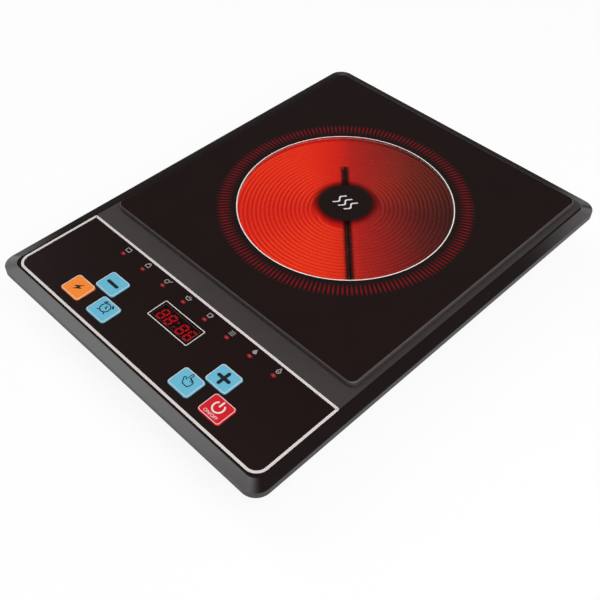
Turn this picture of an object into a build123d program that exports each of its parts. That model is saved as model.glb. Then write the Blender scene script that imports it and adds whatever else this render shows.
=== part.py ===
from build123d import *
import os
from math import cos, hypot, pi, radians, sin, sqrt

os.makedirs("parts", exist_ok=True)

# A single-zone infrared hot plate. +X is the user's right, +Y the back, +Z up, and the feet stand on Z = 0.

# Housing
body_width = 280.0
body_depth = 370.0
plan_corner_radius = 12.0
ground_clearance = 6.0
base_depth = 40.0
lip_height = 5.2
bevel_rise = 2.2
bevel_inset = 7.7
wall = 2.5
base_side_inset = 26.0
base_front_inset = 26.0
base_corner_radius = 14.0
fit_gap = 0.3

# Glass plate and its seal
glass_side_margin = 14.0
glass_back_margin = 12.5
glass_thickness = 4.0
glass_corner_radius = 6.0
glass_edge_chamfer = 0.8
seal_thickness = 1.0
seal_width = 8.0
seal_inset = 3.0

# Control panel
panel_side_margin = 1.6
panel_front_margin = 1.8
panel_length = 73.1
panel_corner_radius = 10.0
panel_back_corner_radius = 1.0
overlay_thickness = 0.5
deck_strip = 16.4

# Keys and their switches
key_width = 20.4
key_length = 17.8
key_corner_radius = 2.5
key_edge_chamfer = 0.5
key_gap = 0.25
key_proud = 0.8
key_wall = 1.6
key_travel = 0.5
key_stop_gap = 0.15
key_tab_reach = 1.5
key_tab_width = 6.0
key_tab_thickness = 1.0
key_stem_radius = 2.2
key_cluster_margin = 70.2
key_spread = 15.2
key_row_step = 19.4
switch_size = 6.2
switch_height = 3.5
switch_floor = 0.5
plunger_radius = 1.75
plunger_proud = 1.0
plunger_gap = 0.3

# Display and indicators
display_width = 42.4
display_length = 17.6
display_window_thickness = 1.5
display_ledge = 1.2
display_shift_y = 9.0
display_module_inset = 1.0
display_module_gap = 0.4
indicator_count = 8
indicator_side_margin = 49.5
indicator_shift_y = 25.0
lens_length = 4.4
lens_width = 2.6
lens_proud = 0.2
lens_flange = 0.8
lens_flange_thickness = 1.0
led_length = 4.0
led_width = 2.0
led_height = 4.2

# Control board
control_board_side_gap = 12.5
control_board_length = 62.0
control_board_shift_y = 2.0
board_thickness = 1.6
board_drop = 12.0
board_post_radius = 3.0
board_post_edge = 5.0
board_post_outer_shift_y = 9.0
board_post_key_gap = 4.6
board_post_inner_shift_y = -23.0
board_screw_length = 7.0

# Screws
screw_radius = 1.5
screw_head_radius = 2.9
screw_head_height = 2.2
screw_gap = 0.3
thread_gap = 0.05

# Housing posts and bosses
post_radius = 4.5
boss_radius = 5.0
boss_web = 4.0
well_radius = 3.8
seat_drop = 14.0
housing_screw_length = 12.0
screw_wall_gap = 1.0
screw_front_inset = 67.0
screw_limiter_gap = 2.7
screw_back_inset = 53.0

# Feet
foot_radius = 9.0
foot_tip_radius = 7.6
foot_seat = 1.0
foot_side_inset = 42.0
foot_front_inset = 42.0
foot_back_inset = 25.0

# Vents
vent_width = 3.0
vent_pitch = 8.0
rear_vent_count = 8
rear_vent_height = 16.0
rear_vent_x = 64.0
side_vent_count = 10
side_vent_height = 13.0
floor_vent_length = 40.0
floor_vent_count = 6
floor_vent_spacing = 50.0

# Cord gland in the back wall
gland_height = 17.0
gland_bore_radius = 3.7
gland_neck_radius = 7.0
gland_flange_radius = 9.0
gland_flange = 2.4
gland_tail = 6.0

# Heater
pan_radius = 102.0
pan_sheet = 0.8
pan_rim_drop = 0.5
pan_bottom_chamfer = 4.0
opening_gap = 1.5
opening_rib = 2.0
opening_rib_height = 6.0
insulation_gap = 0.3
insulation_thickness = 16.0
ring_width = 8.4
coil_start_radius = 26.0
coil_rim_gap = 5.3
coil_half_turns = 18
coil_width = 1.3
coil_height = 1.6
coil_lead_long = 10.0
coil_lead_short = 2.0
coil_exit_angle = -90.0
terminal_radius = 1.2
terminal_insulator_width = 26.0
terminal_insulator_length = 14.0
terminal_insulator_height = 5.0
terminal_slot_margin = 3.0
rod_radius = 1.5
rod_gap = 0.3
rod_far_reach = 46.0
limiter_angle = -45.0
limiter_gap = 1.0
limiter_length = 26.0
limiter_width = 18.0
limiter_drop = 0.6
limiter_chamfer = 1.2
limiter_seat_drop = 6.0
limiter_tab_width = 6.3
limiter_tab_length = 7.0
limiter_tab_thickness = 0.8
limiter_tab_spacing = 9.0

# Leaf springs that press the heater against the glass
spring_angles = (90.0, 210.0, 330.0)
spring_sheet = 0.8
spring_width = 12.0
spring_foot_start = 88.0
spring_foot_end = 72.0
spring_top_start = 54.0
spring_top_end = 40.0
spring_boss_height = 3.0
spring_screw_length = 5.0

# Power board and what stands on it
power_board_width = 94.0
power_board_length = 56.0
power_board_setback = 85.0
power_board_standoff = 6.0
standoff_radius = 3.0
standoff_edge = 4.0
power_screw_length = 6.0
part_gap = 1.0
sink_width = 40.0
sink_length = 14.0
sink_height = 20.0
sink_base = 3.0
sink_fin = 1.2
sink_fin_count = 7
triac_width = 10.4
triac_thickness = 4.6
triac_height = 16.0
triac_chamfer = 1.1
capacitor_edge = 3.0
capacitor_width = 26.0
capacitor_length = 9.0
capacitor_height = 17.0
capacitor_corner_radius = 1.8
transformer_shift_y = 2.0
transformer_width = 24.0
transformer_length = 18.0
transformer_height = 17.0
transformer_window = 6.0
winding_margin = 2.5
relay_shift_x = -6.0
relay_shift_y = -14.5
relay_width = 20.0
relay_length = 15.0
relay_height = 15.0
relay_chamfer = 0.8
block_way = 8.0
block_ways = 3
block_length = 11.0
block_height = 12.0
block_hole_radius = 1.8
block_entry_height = 4.0
connector_shift_x = -30.0
connector_shift_y = -16.0
connector_edge = 6.0
cable_width = 16.0
cable_thickness = 0.9
connector_length = 5.0
connector_height = 5.0
cable_run = 4.0
lead_radius = 1.2

# Fan
fan_size = 70.0
fan_height = 15.0
fan_side_gap = 2.5
fan_setback = 87.0
fan_boss_height = 3.0
fan_duct_radius = 33.0
fan_plate = 2.0
fan_hole_inset = 5.0
fan_spoke_width = 4.0
fan_hub_radius = 12.5
fan_hub_wall = 1.6
fan_tip_gap = 1.5
fan_axial_gap = 0.6
fan_blade_count = 7
fan_blade_thickness = 1.2
fan_root_chord = 11.0
fan_tip_chord = 17.0
fan_duct_wall = 1.5
fan_root_pitch = 50.0
fan_tip_pitch = 30.0
fan_shaft_radius = 1.5
fan_shaft_gap = 0.05
fan_bearing_radius = 4.0
fan_stator_gap = 0.8
fan_screw_length = 5.0

# Levels
z_floor = ground_clearance
z_floor_top = z_floor + wall
z_part = z_floor + base_depth
z_lip = z_part + lip_height
z_deck = z_lip + bevel_rise
z_deck_under = z_deck - wall
z_seat = z_deck_under - seat_drop
z_glass = z_deck + seal_thickness
z_control_board = z_deck - board_drop
z_plunger_top = z_control_board + switch_height + plunger_proud
z_key_skirt = z_deck_under - key_stop_gap - key_tab_thickness
z_key_top = z_deck + key_proud
z_rod = z_glass - rod_gap - rod_radius
z_coil_top = z_rod - rod_radius - rod_gap
z_insulation_top = z_coil_top - coil_height
z_pan_inside = z_insulation_top - insulation_thickness
z_pan = z_pan_inside - pan_sheet
z_limiter_seat = z_insulation_top - limiter_seat_drop
z_power_board = z_floor_top + power_board_standoff + board_thickness
z_fan = z_floor_top + fan_boss_height

# Plan places
y_front = -body_depth / 2
y_back = body_depth / 2
deck_width = body_width - 2 * bevel_inset
deck_depth = body_depth - 2 * bevel_inset
deck_corner_radius = plan_corner_radius - bevel_inset / 2
rim_inset = wall + fit_gap
rim_width = body_width - 2 * rim_inset
rim_depth = body_depth - 2 * rim_inset
rim_corner_radius = plan_corner_radius - rim_inset
y_wall = y_back - rim_inset
tongue_height = lip_height - wall - fit_gap
floor_width = body_width - 2 * base_side_inset
floor_length = body_depth - base_front_inset - rim_inset
floor_center_y = (base_front_inset - rim_inset) / 2
panel_width = deck_width - 2 * panel_side_margin
panel_front_y = y_front + bevel_inset + panel_front_margin
panel_center_y = panel_front_y + panel_length / 2
glass_width = body_width - 2 * glass_side_margin
glass_front_y = panel_front_y + panel_length + deck_strip
glass_length = y_back - glass_back_margin - glass_front_y
heater_y = glass_front_y + glass_length / 2
key_cluster_x = panel_width / 2 - key_cluster_margin
key_row_y = panel_center_y - key_row_step
key_places = {
    "minus": (-key_cluster_x, panel_center_y),
    "plus": (key_cluster_x, panel_center_y),
    "boost": (-key_cluster_x - key_spread, key_row_y),
    "timer": (-key_cluster_x + key_spread, key_row_y),
    "function": (key_cluster_x - key_spread, key_row_y),
    "power": (key_cluster_x + key_spread, key_row_y),
}
key_points = list(key_places.values())
display_point = (0, panel_center_y + display_shift_y)
indicator_span = panel_width - 2 * indicator_side_margin
indicator_pitch = indicator_span / (indicator_count - 1)
indicator_points = [
    (i * indicator_pitch - indicator_span / 2, panel_center_y + indicator_shift_y)
    for i in range(indicator_count)
]
limiter_start = pan_radius + limiter_gap
limiter_end = limiter_start + limiter_length
limiter_reach = limiter_end + limiter_tab_length
limiter_turn = radians(limiter_angle)
screw_x = body_width / 2 - base_side_inset - wall - screw_wall_gap - boss_radius
screw_reach = limiter_reach + screw_limiter_gap + boss_radius
screw_mid_y = heater_y + (screw_reach - screw_x * cos(limiter_turn)) / sin(limiter_turn)
screw_points = [
    (side * screw_x, y)
    for y in (y_front + screw_front_inset, screw_mid_y, y_back - screw_back_inset)
    for side in (-1, 1)
]
control_board_width = 2 * (screw_x - boss_radius - control_board_side_gap)
control_board_y = panel_center_y + control_board_shift_y
board_post_outer_x = control_board_width / 2 - board_post_edge
inner_key_edge = key_cluster_x - key_spread - key_width / 2 - key_tab_reach
board_post_inner_x = inner_key_edge - board_post_key_gap - board_post_radius
board_post_points = [
    (side * x, panel_center_y + shift)
    for x, shift in (
        (board_post_outer_x, board_post_outer_shift_y),
        (board_post_inner_x, board_post_inner_shift_y),
    )
    for side in (-1, 1)
]
foot_points = [
    (side * (body_width / 2 - foot_side_inset), y)
    for y in (y_front + foot_front_inset, y_back - foot_back_inset)
    for side in (-1, 1)
]
spring_hole_reach = (spring_foot_start + spring_foot_end) / 2
spring_points = [
    (spring_hole_reach * cos(radians(a)), heater_y + spring_hole_reach * sin(radians(a)))
    for a in spring_angles
]
fan_x = screw_x - boss_radius - fan_side_gap - fan_size / 2
fan_y = y_front + fan_setback
power_board_x = fan_x - (fan_size + power_board_width) / 2 - fan_side_gap
power_board_y = y_front + power_board_setback
standoff_x = power_board_width / 2 - standoff_edge
standoff_y = power_board_length / 2 - standoff_edge
standoff_points = [
    (power_board_x + sx * standoff_x, power_board_y + sy * standoff_y)
    for sx in (-1, 1)
    for sy in (-1, 1)
]
part_limit_x = standoff_x - screw_head_radius - part_gap
part_limit_y = standoff_y - screw_head_radius - part_gap
fan_reach = fan_size / 2 - fan_hole_inset
fan_points = [(fan_x + sx * fan_reach, fan_y + sy * fan_reach) for sx in (-1, 1) for sy in (-1, 1)]


def make_screws(points, z_bearing, length, upward):
    """Pan-head screws whose heads bear on z_bearing and whose shanks run up or down."""
    way = 1 if upward else -1
    with BuildPart() as group:
        with BuildSketch(Plane.XY.offset(z_bearing)):
            with Locations(*points):
                Circle(screw_head_radius)
        extrude(amount=-way * screw_head_height)
        with BuildSketch(Plane.XY.offset(z_bearing)):
            with Locations(*points):
                Circle(screw_radius)
        extrude(amount=way * length)
    return group


def upright_plane(angle):
    """A plane through the heater's axis: X runs outwards at the angle, Y is up."""
    turn = radians(angle)
    return Plane(origin=(0, heater_y, 0), x_dir=(cos(turn), sin(turn), 0), z_dir=(sin(turn), -cos(turn), 0))


def level_plane(angle, z):
    """A level plane on the heater's axis at height z: X runs outwards at the angle."""
    turn = radians(angle)
    return Plane(origin=(0, heater_y, z), x_dir=(cos(turn), sin(turn), 0), z_dir=(0, 0, 1))


def board_point(x, y):
    """A place on the power board, given from the board's centre."""
    return (power_board_x + x, power_board_y + y)


# Base tray: tapered hull with a vertical back wall
with BuildPart() as base_tray:
    with BuildSketch(Plane.XY.offset(z_floor)):
        with Locations((0, floor_center_y)):
            RectangleRounded(floor_width, floor_length, base_corner_radius)
    with BuildSketch(Plane.XY.offset(z_part)):
        RectangleRounded(rim_width, rim_depth, rim_corner_radius)
    loft(ruled=True)
    with BuildSketch(Plane.XY.offset(z_part)):
        RectangleRounded(rim_width, rim_depth, rim_corner_radius)
    extrude(amount=tongue_height)
    with BuildSketch(Plane.XY.offset(z_floor_top)):
        with Locations((0, floor_center_y)):
            RectangleRounded(floor_width - 2 * wall, floor_length - 2 * wall, base_corner_radius - wall)
    with BuildSketch(Plane.XY.offset(z_part)):
        RectangleRounded(rim_width - 2 * wall, rim_depth - 2 * wall, rim_corner_radius - wall)
    loft(ruled=True, mode=Mode.SUBTRACT)
    with BuildSketch(Plane.XY.offset(z_part)):
        RectangleRounded(rim_width - 2 * wall, rim_depth - 2 * wall, rim_corner_radius - wall)
    extrude(amount=tongue_height, mode=Mode.SUBTRACT)

    # Vents: sides, back, under the heater and under the fan
    z_vent = z_floor + base_depth / 2
    with BuildSketch(Plane.YZ):
        with Locations((heater_y, z_vent)):
            with GridLocations(vent_pitch, 0, side_vent_count, 1):
                Rectangle(vent_width, side_vent_height)
    extrude(amount=body_width, both=True, mode=Mode.SUBTRACT)
    with BuildSketch(Plane.XZ.offset(-y_wall)):
        with Locations((-rear_vent_x, z_vent), (rear_vent_x, z_vent)):
            with GridLocations(vent_pitch, 0, rear_vent_count, 1):
                Rectangle(vent_width, rear_vent_height)
    extrude(amount=wall, mode=Mode.SUBTRACT)
    with BuildSketch(Plane.XY.offset(z_floor)):
        with Locations((0, heater_y)):
            with GridLocations(floor_vent_spacing, vent_pitch, 2, floor_vent_count):
                Rectangle(floor_vent_length, vent_width)
        intake_rows = int(2 * fan_duct_radius / vent_pitch)
        for i in range(intake_rows):
            row_y = (i - (intake_rows - 1) / 2) * vent_pitch
            with Locations((fan_x, fan_y + row_y)):
                Rectangle(2 * sqrt(fan_duct_radius**2 - (abs(row_y) + vent_width / 2) ** 2), vent_width)
    extrude(amount=wall, mode=Mode.SUBTRACT)

    # Bosses, standoffs and pads on the floor
    with BuildSketch(Plane.XY.offset(z_floor)):
        with Locations(*screw_points):
            Circle(boss_radius)
    extrude(amount=z_seat - z_floor)
    with BuildSketch(Plane.XY.offset(z_floor)):
        with Locations(*standoff_points):
            Circle(standoff_radius)
    extrude(amount=wall + power_board_standoff)
    with BuildSketch(Plane.XY.offset(z_floor)):
        with Locations(*fan_points):
            Circle(standoff_radius)
    extrude(amount=wall + fan_boss_height)
    with BuildSketch(Plane.XY.offset(z_floor)):
        with Locations(*spring_points):
            Circle(boss_radius)
    extrude(amount=wall + spring_boss_height)

    # Screw wells and screw holes, foot seats and the gland's hole
    with BuildSketch(Plane.XY.offset(z_floor)):
        with Locations(*screw_points):
            Circle(well_radius)
    extrude(amount=z_seat - boss_web - z_floor, mode=Mode.SUBTRACT)
    with BuildSketch(Plane.XY.offset(z_seat)):
        with Locations(*screw_points):
            Circle(screw_radius + screw_gap)
    extrude(amount=-boss_web, mode=Mode.SUBTRACT)
    with BuildSketch(Plane.XY.offset(z_power_board - board_thickness)):
        with Locations(*standoff_points):
            Circle(screw_radius + thread_gap)
    extrude(amount=-power_screw_length, mode=Mode.SUBTRACT)
    with BuildSketch(Plane.XY.offset(z_fan)):
        with Locations(*fan_points):
            Circle(screw_radius + thread_gap)
    extrude(amount=-fan_screw_length + fan_plate, mode=Mode.SUBTRACT)
    with BuildSketch(Plane.XY.offset(z_floor_top + spring_boss_height)):
        with Locations(*spring_points):
            Circle(screw_radius + thread_gap)
    extrude(amount=-spring_screw_length, mode=Mode.SUBTRACT)
    with BuildSketch(Plane.XY.offset(z_floor)):
        with Locations(*foot_points):
            Circle(foot_radius + fit_gap)
    extrude(amount=foot_seat, mode=Mode.SUBTRACT)
    with BuildSketch(Plane.XZ.offset(-y_wall)):
        with Locations((0, z_floor + gland_height)):
            Circle(gland_neck_radius)
    extrude(amount=wall, mode=Mode.SUBTRACT)
base_tray.part.label = "base_tray"
export_step(base_tray.part, "parts/base_tray.step")

# Upper housing: lip, bevel and deck as one moulding
with BuildPart() as upper_housing:
    with BuildSketch(Plane.XY.offset(z_part)):
        RectangleRounded(body_width, body_depth, plan_corner_radius)
    extrude(amount=lip_height)
    with BuildSketch(Plane.XY.offset(z_lip)):
        RectangleRounded(body_width, body_depth, plan_corner_radius)
    with BuildSketch(Plane.XY.offset(z_deck)):
        RectangleRounded(deck_width, deck_depth, deck_corner_radius)
    loft(ruled=True)
    with BuildSketch(Plane.XY.offset(z_part)):
        RectangleRounded(body_width - 2 * wall, body_depth - 2 * wall, plan_corner_radius - wall)
    extrude(amount=lip_height - wall, mode=Mode.SUBTRACT)
    with BuildSketch(Plane.XY.offset(z_lip - wall)):
        RectangleRounded(body_width - 2 * wall, body_depth - 2 * wall, plan_corner_radius - wall)
    with BuildSketch(Plane.XY.offset(z_deck_under)):
        RectangleRounded(deck_width - 2 * wall, deck_depth - 2 * wall, deck_corner_radius - wall)
    loft(ruled=True, mode=Mode.SUBTRACT)

    # Posts under the deck, and a stiffening rib round the heater's opening
    with BuildSketch(Plane.XY.offset(z_seat)):
        with Locations(*screw_points):
            Circle(post_radius)
    extrude(amount=seat_drop)
    with BuildSketch(Plane.XY.offset(z_control_board)):
        with Locations(*board_post_points):
            Circle(board_post_radius)
    extrude(amount=z_deck_under - z_control_board)
    with BuildSketch(Plane.XY.offset(z_deck_under)):
        with Locations((0, heater_y)):
            Circle(pan_radius + opening_gap + opening_rib)
    extrude(amount=-opening_rib_height)
    with BuildSketch(Plane.XY.offset(z_deck)):
        with Locations((0, heater_y)):
            Circle(pan_radius + opening_gap)
    extrude(amount=-wall - opening_rib_height, mode=Mode.SUBTRACT)
    with BuildSketch(level_plane(limiter_angle, z_deck)):
        with Locations(((limiter_end + opening_gap) / 2, 0)):
            Rectangle(limiter_end + opening_gap, limiter_width + 2 * opening_gap)
    extrude(amount=-wall - opening_rib_height, mode=Mode.SUBTRACT)

    # Recess and openings of the control panel
    with BuildSketch(Plane.XY.offset(z_deck)):
        with Locations((0, panel_center_y)):
            Rectangle(panel_width + 2 * fit_gap, panel_length + 2 * fit_gap)
        fillet(vertices().group_by(Axis.Y)[0], panel_corner_radius + fit_gap)
        fillet(vertices().group_by(Axis.Y)[-1], panel_back_corner_radius + fit_gap)
    extrude(amount=-overlay_thickness, mode=Mode.SUBTRACT)
    with BuildSketch(Plane.XY.offset(z_deck)):
        with Locations(*key_points):
            RectangleRounded(key_width + 2 * key_gap, key_length + 2 * key_gap, key_corner_radius + key_gap)
        with Locations(*indicator_points):
            SlotOverall(lens_length + 2 * thread_gap, lens_width + 2 * thread_gap)
        with Locations(display_point):
            Rectangle(display_width - 2 * display_ledge, display_length - 2 * display_ledge)
    extrude(amount=-wall, mode=Mode.SUBTRACT)
    with BuildSketch(Plane.XY.offset(z_deck)):
        with Locations(display_point):
            Rectangle(display_width + 2 * thread_gap, display_length + 2 * thread_gap)
    extrude(amount=-display_window_thickness, mode=Mode.SUBTRACT)

    # Screw holes in the posts
    with BuildSketch(Plane.XY.offset(z_seat)):
        with Locations(*screw_points):
            Circle(screw_radius + thread_gap)
    extrude(amount=housing_screw_length - boss_web + screw_gap, mode=Mode.SUBTRACT)
    with BuildSketch(Plane.XY.offset(z_control_board)):
        with Locations(*board_post_points):
            Circle(screw_radius + thread_gap)
    extrude(amount=board_screw_length - board_thickness + screw_gap, mode=Mode.SUBTRACT)
upper_housing.part.label = "upper_housing"
export_step(upper_housing.part, "parts/upper_housing.step")

# Feet: tapered rubber pads seated in the tray's floor
on_bottom = (Align.CENTER, Align.CENTER, Align.MIN)
with BuildPart() as rubber_feet:
    with Locations(*[(x, y, 0) for x, y in foot_points]):
        Cone(foot_tip_radius, foot_radius, ground_clearance, align=on_bottom)
    with Locations(*[(x, y, ground_clearance) for x, y in foot_points]):
        Cylinder(foot_radius, foot_seat, align=on_bottom)
rubber_feet.part.label = "rubber_feet"
export_step(rubber_feet.part, "parts/rubber_feet.step")

# Screws that pull the two housings together from below
housing_screws = make_screws(screw_points, z_seat - boss_web, housing_screw_length, True)
housing_screws.part.label = "housing_screws"
export_step(housing_screws.part, "parts/housing_screws.step")

# Cord gland: a grommet whose neck fills the hole in the back wall
with BuildPart() as cord_gland:
    with BuildSketch(Plane.XZ.offset(-y_wall)):
        with Locations((0, z_floor + gland_height)):
            Circle(gland_flange_radius)
    extrude(amount=-gland_flange)
    with BuildSketch(Plane.XZ.offset(-y_wall)):
        with Locations((0, z_floor + gland_height)):
            Circle(gland_neck_radius)
    extrude(amount=wall)
    with BuildSketch(Plane.XZ.offset(wall - y_wall)):
        with Locations((0, z_floor + gland_height)):
            Circle(gland_flange_radius)
    extrude(amount=gland_tail)
    with BuildSketch(Plane.XZ.offset(-y_wall - gland_flange)):
        with Locations((0, z_floor + gland_height)):
            Circle(gland_bore_radius)
    extrude(amount=gland_flange + wall + gland_tail, mode=Mode.SUBTRACT)
cord_gland.part.label = "cord_gland"
export_step(cord_gland.part, "parts/cord_gland.step")

# Glass plate with rounded corners and a ground top edge
with BuildPart() as glass_plate:
    with BuildSketch(Plane.XY.offset(z_glass)):
        with Locations((0, heater_y)):
            RectangleRounded(glass_width, glass_length, glass_corner_radius)
    extrude(amount=glass_thickness)
    chamfer(faces().sort_by(Axis.Z)[-1].edges(), glass_edge_chamfer)
glass_plate.part.label = "glass_plate"
export_step(glass_plate.part, "parts/glass_plate.step")

# Silicone bead between the glass and the deck
with BuildPart() as glass_seal:
    with BuildSketch(Plane.XY.offset(z_deck)):
        with Locations((0, heater_y)):
            RectangleRounded(glass_width - 2 * seal_inset, glass_length - 2 * seal_inset, glass_corner_radius)
            Rectangle(
                glass_width - 2 * (seal_inset + seal_width),
                glass_length - 2 * (seal_inset + seal_width),
                mode=Mode.SUBTRACT,
            )
    extrude(amount=seal_thickness)
glass_seal.part.label = "glass_seal"
export_step(glass_seal.part, "parts/glass_seal.step")

# Printed film over the control panel
with BuildPart() as panel_overlay:
    with BuildSketch(Plane.XY.offset(z_deck)):
        with Locations((0, panel_center_y)):
            Rectangle(panel_width, panel_length)
        fillet(vertices().group_by(Axis.Y)[0], panel_corner_radius)
        fillet(vertices().group_by(Axis.Y)[-1], panel_back_corner_radius)
        with Locations(*key_points):
            RectangleRounded(
                key_width + 2 * key_gap,
                key_length + 2 * key_gap,
                key_corner_radius + key_gap,
                mode=Mode.SUBTRACT,
            )
        with Locations(*indicator_points):
            SlotOverall(lens_length + 2 * thread_gap, lens_width + 2 * thread_gap, mode=Mode.SUBTRACT)
        with Locations(display_point):
            Rectangle(display_width + 2 * thread_gap, display_length + 2 * thread_gap, mode=Mode.SUBTRACT)
    extrude(amount=-overlay_thickness)
panel_overlay.part.label = "panel_overlay"
export_step(panel_overlay.part, "parts/panel_overlay.step")

# Smoked window over the display, seated on a ledge
with BuildPart() as display_window:
    with BuildSketch(Plane.XY.offset(z_deck)):
        with Locations(display_point):
            Rectangle(display_width, display_length)
    extrude(amount=-display_window_thickness)
display_window.part.label = "display_window"
export_step(display_window.part, "parts/display_window.step")

# Light pipes of the indicators, each with a flange under the deck
with BuildPart() as indicator_lenses:
    with BuildSketch(Plane.XY.offset(z_deck_under)):
        with Locations(*indicator_points):
            SlotOverall(lens_length, lens_width)
    extrude(amount=wall + lens_proud)
    with BuildSketch(Plane.XY.offset(z_deck_under)):
        with Locations(*indicator_points):
            Rectangle(lens_length + 2 * lens_flange, lens_width + 2 * lens_flange)
    extrude(amount=-lens_flange_thickness)
indicator_lenses.part.label = "indicator_lenses"
export_step(indicator_lenses.part, "parts/indicator_lenses.step")

# Keys: hollow caps with side tabs under the deck and a stem, and the switch plunger that each stem presses
for key_name, key_point in key_places.items():
    with BuildPart() as key_cap:
        with BuildSketch(Plane.XY.offset(z_key_skirt)):
            with Locations(key_point):
                RectangleRounded(key_width, key_length, key_corner_radius)
        extrude(amount=z_key_top - z_key_skirt)
        chamfer(faces().sort_by(Axis.Z)[-1].edges(), key_edge_chamfer)
        with BuildSketch(Plane.XY.offset(z_key_skirt)):
            with Locations(key_point):
                Rectangle(key_width + 2 * key_tab_reach, key_tab_width)
        extrude(amount=key_tab_thickness)
        with BuildSketch(Plane.XY.offset(z_key_skirt)):
            with Locations(key_point):
                Rectangle(key_width - 2 * key_wall, key_length - 2 * key_wall)
        extrude(amount=z_key_top - key_wall - z_key_skirt, mode=Mode.SUBTRACT)
        with BuildSketch(Plane.XY.offset(z_plunger_top)):
            with Locations(key_point):
                Circle(key_stem_radius)
        extrude(amount=z_key_top - key_wall / 2 - z_plunger_top)
    key_cap.part.label = f"key_{key_name}"
    export_step(key_cap.part, f"parts/key_{key_name}.step")

    with BuildPart() as plunger:
        with BuildSketch(Plane.XY.offset(z_plunger_top)):
            with Locations(key_point):
                Circle(plunger_radius)
        extrude(amount=key_travel + plunger_gap + switch_floor - switch_height - plunger_proud)
    plunger.part.label = f"plunger_{key_name}"
    export_step(plunger.part, f"parts/plunger_{key_name}.step")

# Switch bodies on the control board, open at the top for the plungers
with BuildPart() as key_switches:
    with BuildSketch(Plane.XY.offset(z_control_board)):
        with Locations(*key_points):
            Rectangle(switch_size, switch_size)
    extrude(amount=switch_height)
    with BuildSketch(Plane.XY.offset(z_control_board + switch_height)):
        with Locations(*key_points):
            Circle(plunger_radius + plunger_gap)
    extrude(amount=switch_floor - switch_height, mode=Mode.SUBTRACT)
key_switches.part.label = "key_switches"
export_step(key_switches.part, "parts/key_switches.step")

# Control board, hung from posts under the deck
with BuildPart() as control_board:
    with BuildSketch(Plane.XY.offset(z_control_board)):
        with Locations((0, control_board_y)):
            Rectangle(control_board_width, control_board_length)
        with Locations(*board_post_points):
            Circle(screw_radius + screw_gap, mode=Mode.SUBTRACT)
    extrude(amount=-board_thickness)
control_board.part.label = "control_board"
export_step(control_board.part, "parts/control_board.step")

board_screws = make_screws(board_post_points, z_control_board - board_thickness, board_screw_length, True)
board_screws.part.label = "board_screws"
export_step(board_screws.part, "parts/board_screws.step")

# Seven-segment module under the window
with BuildPart() as display_module:
    with BuildSketch(Plane.XY.offset(z_control_board)):
        with Locations(display_point):
            Rectangle(
                display_width - 2 * (display_ledge + display_module_inset),
                display_length - 2 * (display_ledge + display_module_inset),
            )
    extrude(amount=z_deck_under - display_module_gap - z_control_board)
display_module.part.label = "display_module"
export_step(display_module.part, "parts/display_module.step")

# Indicator lamps on the board, under the light pipes
with BuildPart() as indicator_leds:
    with BuildSketch(Plane.XY.offset(z_control_board)):
        with Locations(*indicator_points):
            Rectangle(led_length, led_width)
    extrude(amount=led_height)
indicator_leds.part.label = "indicator_leds"
export_step(indicator_leds.part, "parts/indicator_leds.step")

# Heater pan: a pressed dish with a slot for the terminals and a tongue that carries the limiter
insulation_radius = pan_radius - pan_sheet - insulation_gap
ring_inner_radius = insulation_radius - ring_width
coil_pitch = (ring_inner_radius - coil_rim_gap - coil_start_radius) / coil_half_turns
coil_sign = 1 if coil_half_turns % 2 == 0 else -1
coil_reach = [coil_start_radius + k * coil_pitch for k in range(coil_half_turns + 1)]
coil_ends = (
    (coil_sign * coil_reach[-1], coil_sign * coil_lead_long),
    (coil_sign * coil_reach[-2], coil_sign * coil_lead_short),
)
terminal_points = [(end, run - coil_sign * coil_width) for end, run in coil_ends]
insulator_point = tuple(sum(axis) / 2 for axis in zip(*terminal_points))
heater_axis = Axis((0, heater_y, 0), (0, 0, 1))
with BuildPart() as heater_pan:
    with BuildSketch(upright_plane(0)):
        with BuildLine():
            Polyline(
                (0, z_pan),
                (pan_radius - pan_bottom_chamfer, z_pan),
                (pan_radius, z_pan + pan_bottom_chamfer),
                (pan_radius, z_insulation_top - pan_rim_drop),
            )
            offset(amount=pan_sheet, side=Side.LEFT, kind=Kind.INTERSECTION)
        make_face()
    revolve(axis=heater_axis)
    with BuildSketch(level_plane(coil_exit_angle, z_pan)):
        with Locations(insulator_point):
            Rectangle(
                terminal_insulator_length - 2 * terminal_slot_margin,
                terminal_insulator_width - 2 * terminal_slot_margin,
            )
    extrude(amount=pan_sheet, mode=Mode.SUBTRACT)
    with BuildSketch(level_plane(limiter_angle, z_limiter_seat)):
        with Locations((limiter_start, 0)):
            Rectangle(limiter_length, limiter_width, align=(Align.MIN, Align.CENTER))
        with Locations((pan_radius - pan_sheet / 2, 0)):
            Rectangle(limiter_length / 2, limiter_width, align=(Align.MIN, Align.CENTER))
    extrude(amount=-pan_sheet)
heater_pan.part.label = "heater_pan"
export_step(heater_pan.part, "parts/heater_pan.step")

# Insulation: a fibre dish under the coil, pierced by the terminals
with BuildPart() as heater_insulation:
    with BuildSketch(Plane.XY.offset(z_pan_inside)):
        with Locations((0, heater_y)):
            Circle(insulation_radius)
    extrude(amount=insulation_thickness)
    chamfer(faces().sort_by(Axis.Z)[0].edges(), pan_bottom_chamfer)
    with BuildSketch(level_plane(coil_exit_angle, z_pan_inside)):
        with Locations(*terminal_points):
            Circle(terminal_radius + screw_gap)
    extrude(amount=insulation_thickness, mode=Mode.SUBTRACT)
heater_insulation.part.label = "heater_insulation"
export_step(heater_insulation.part, "parts/heater_insulation.step")

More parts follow.
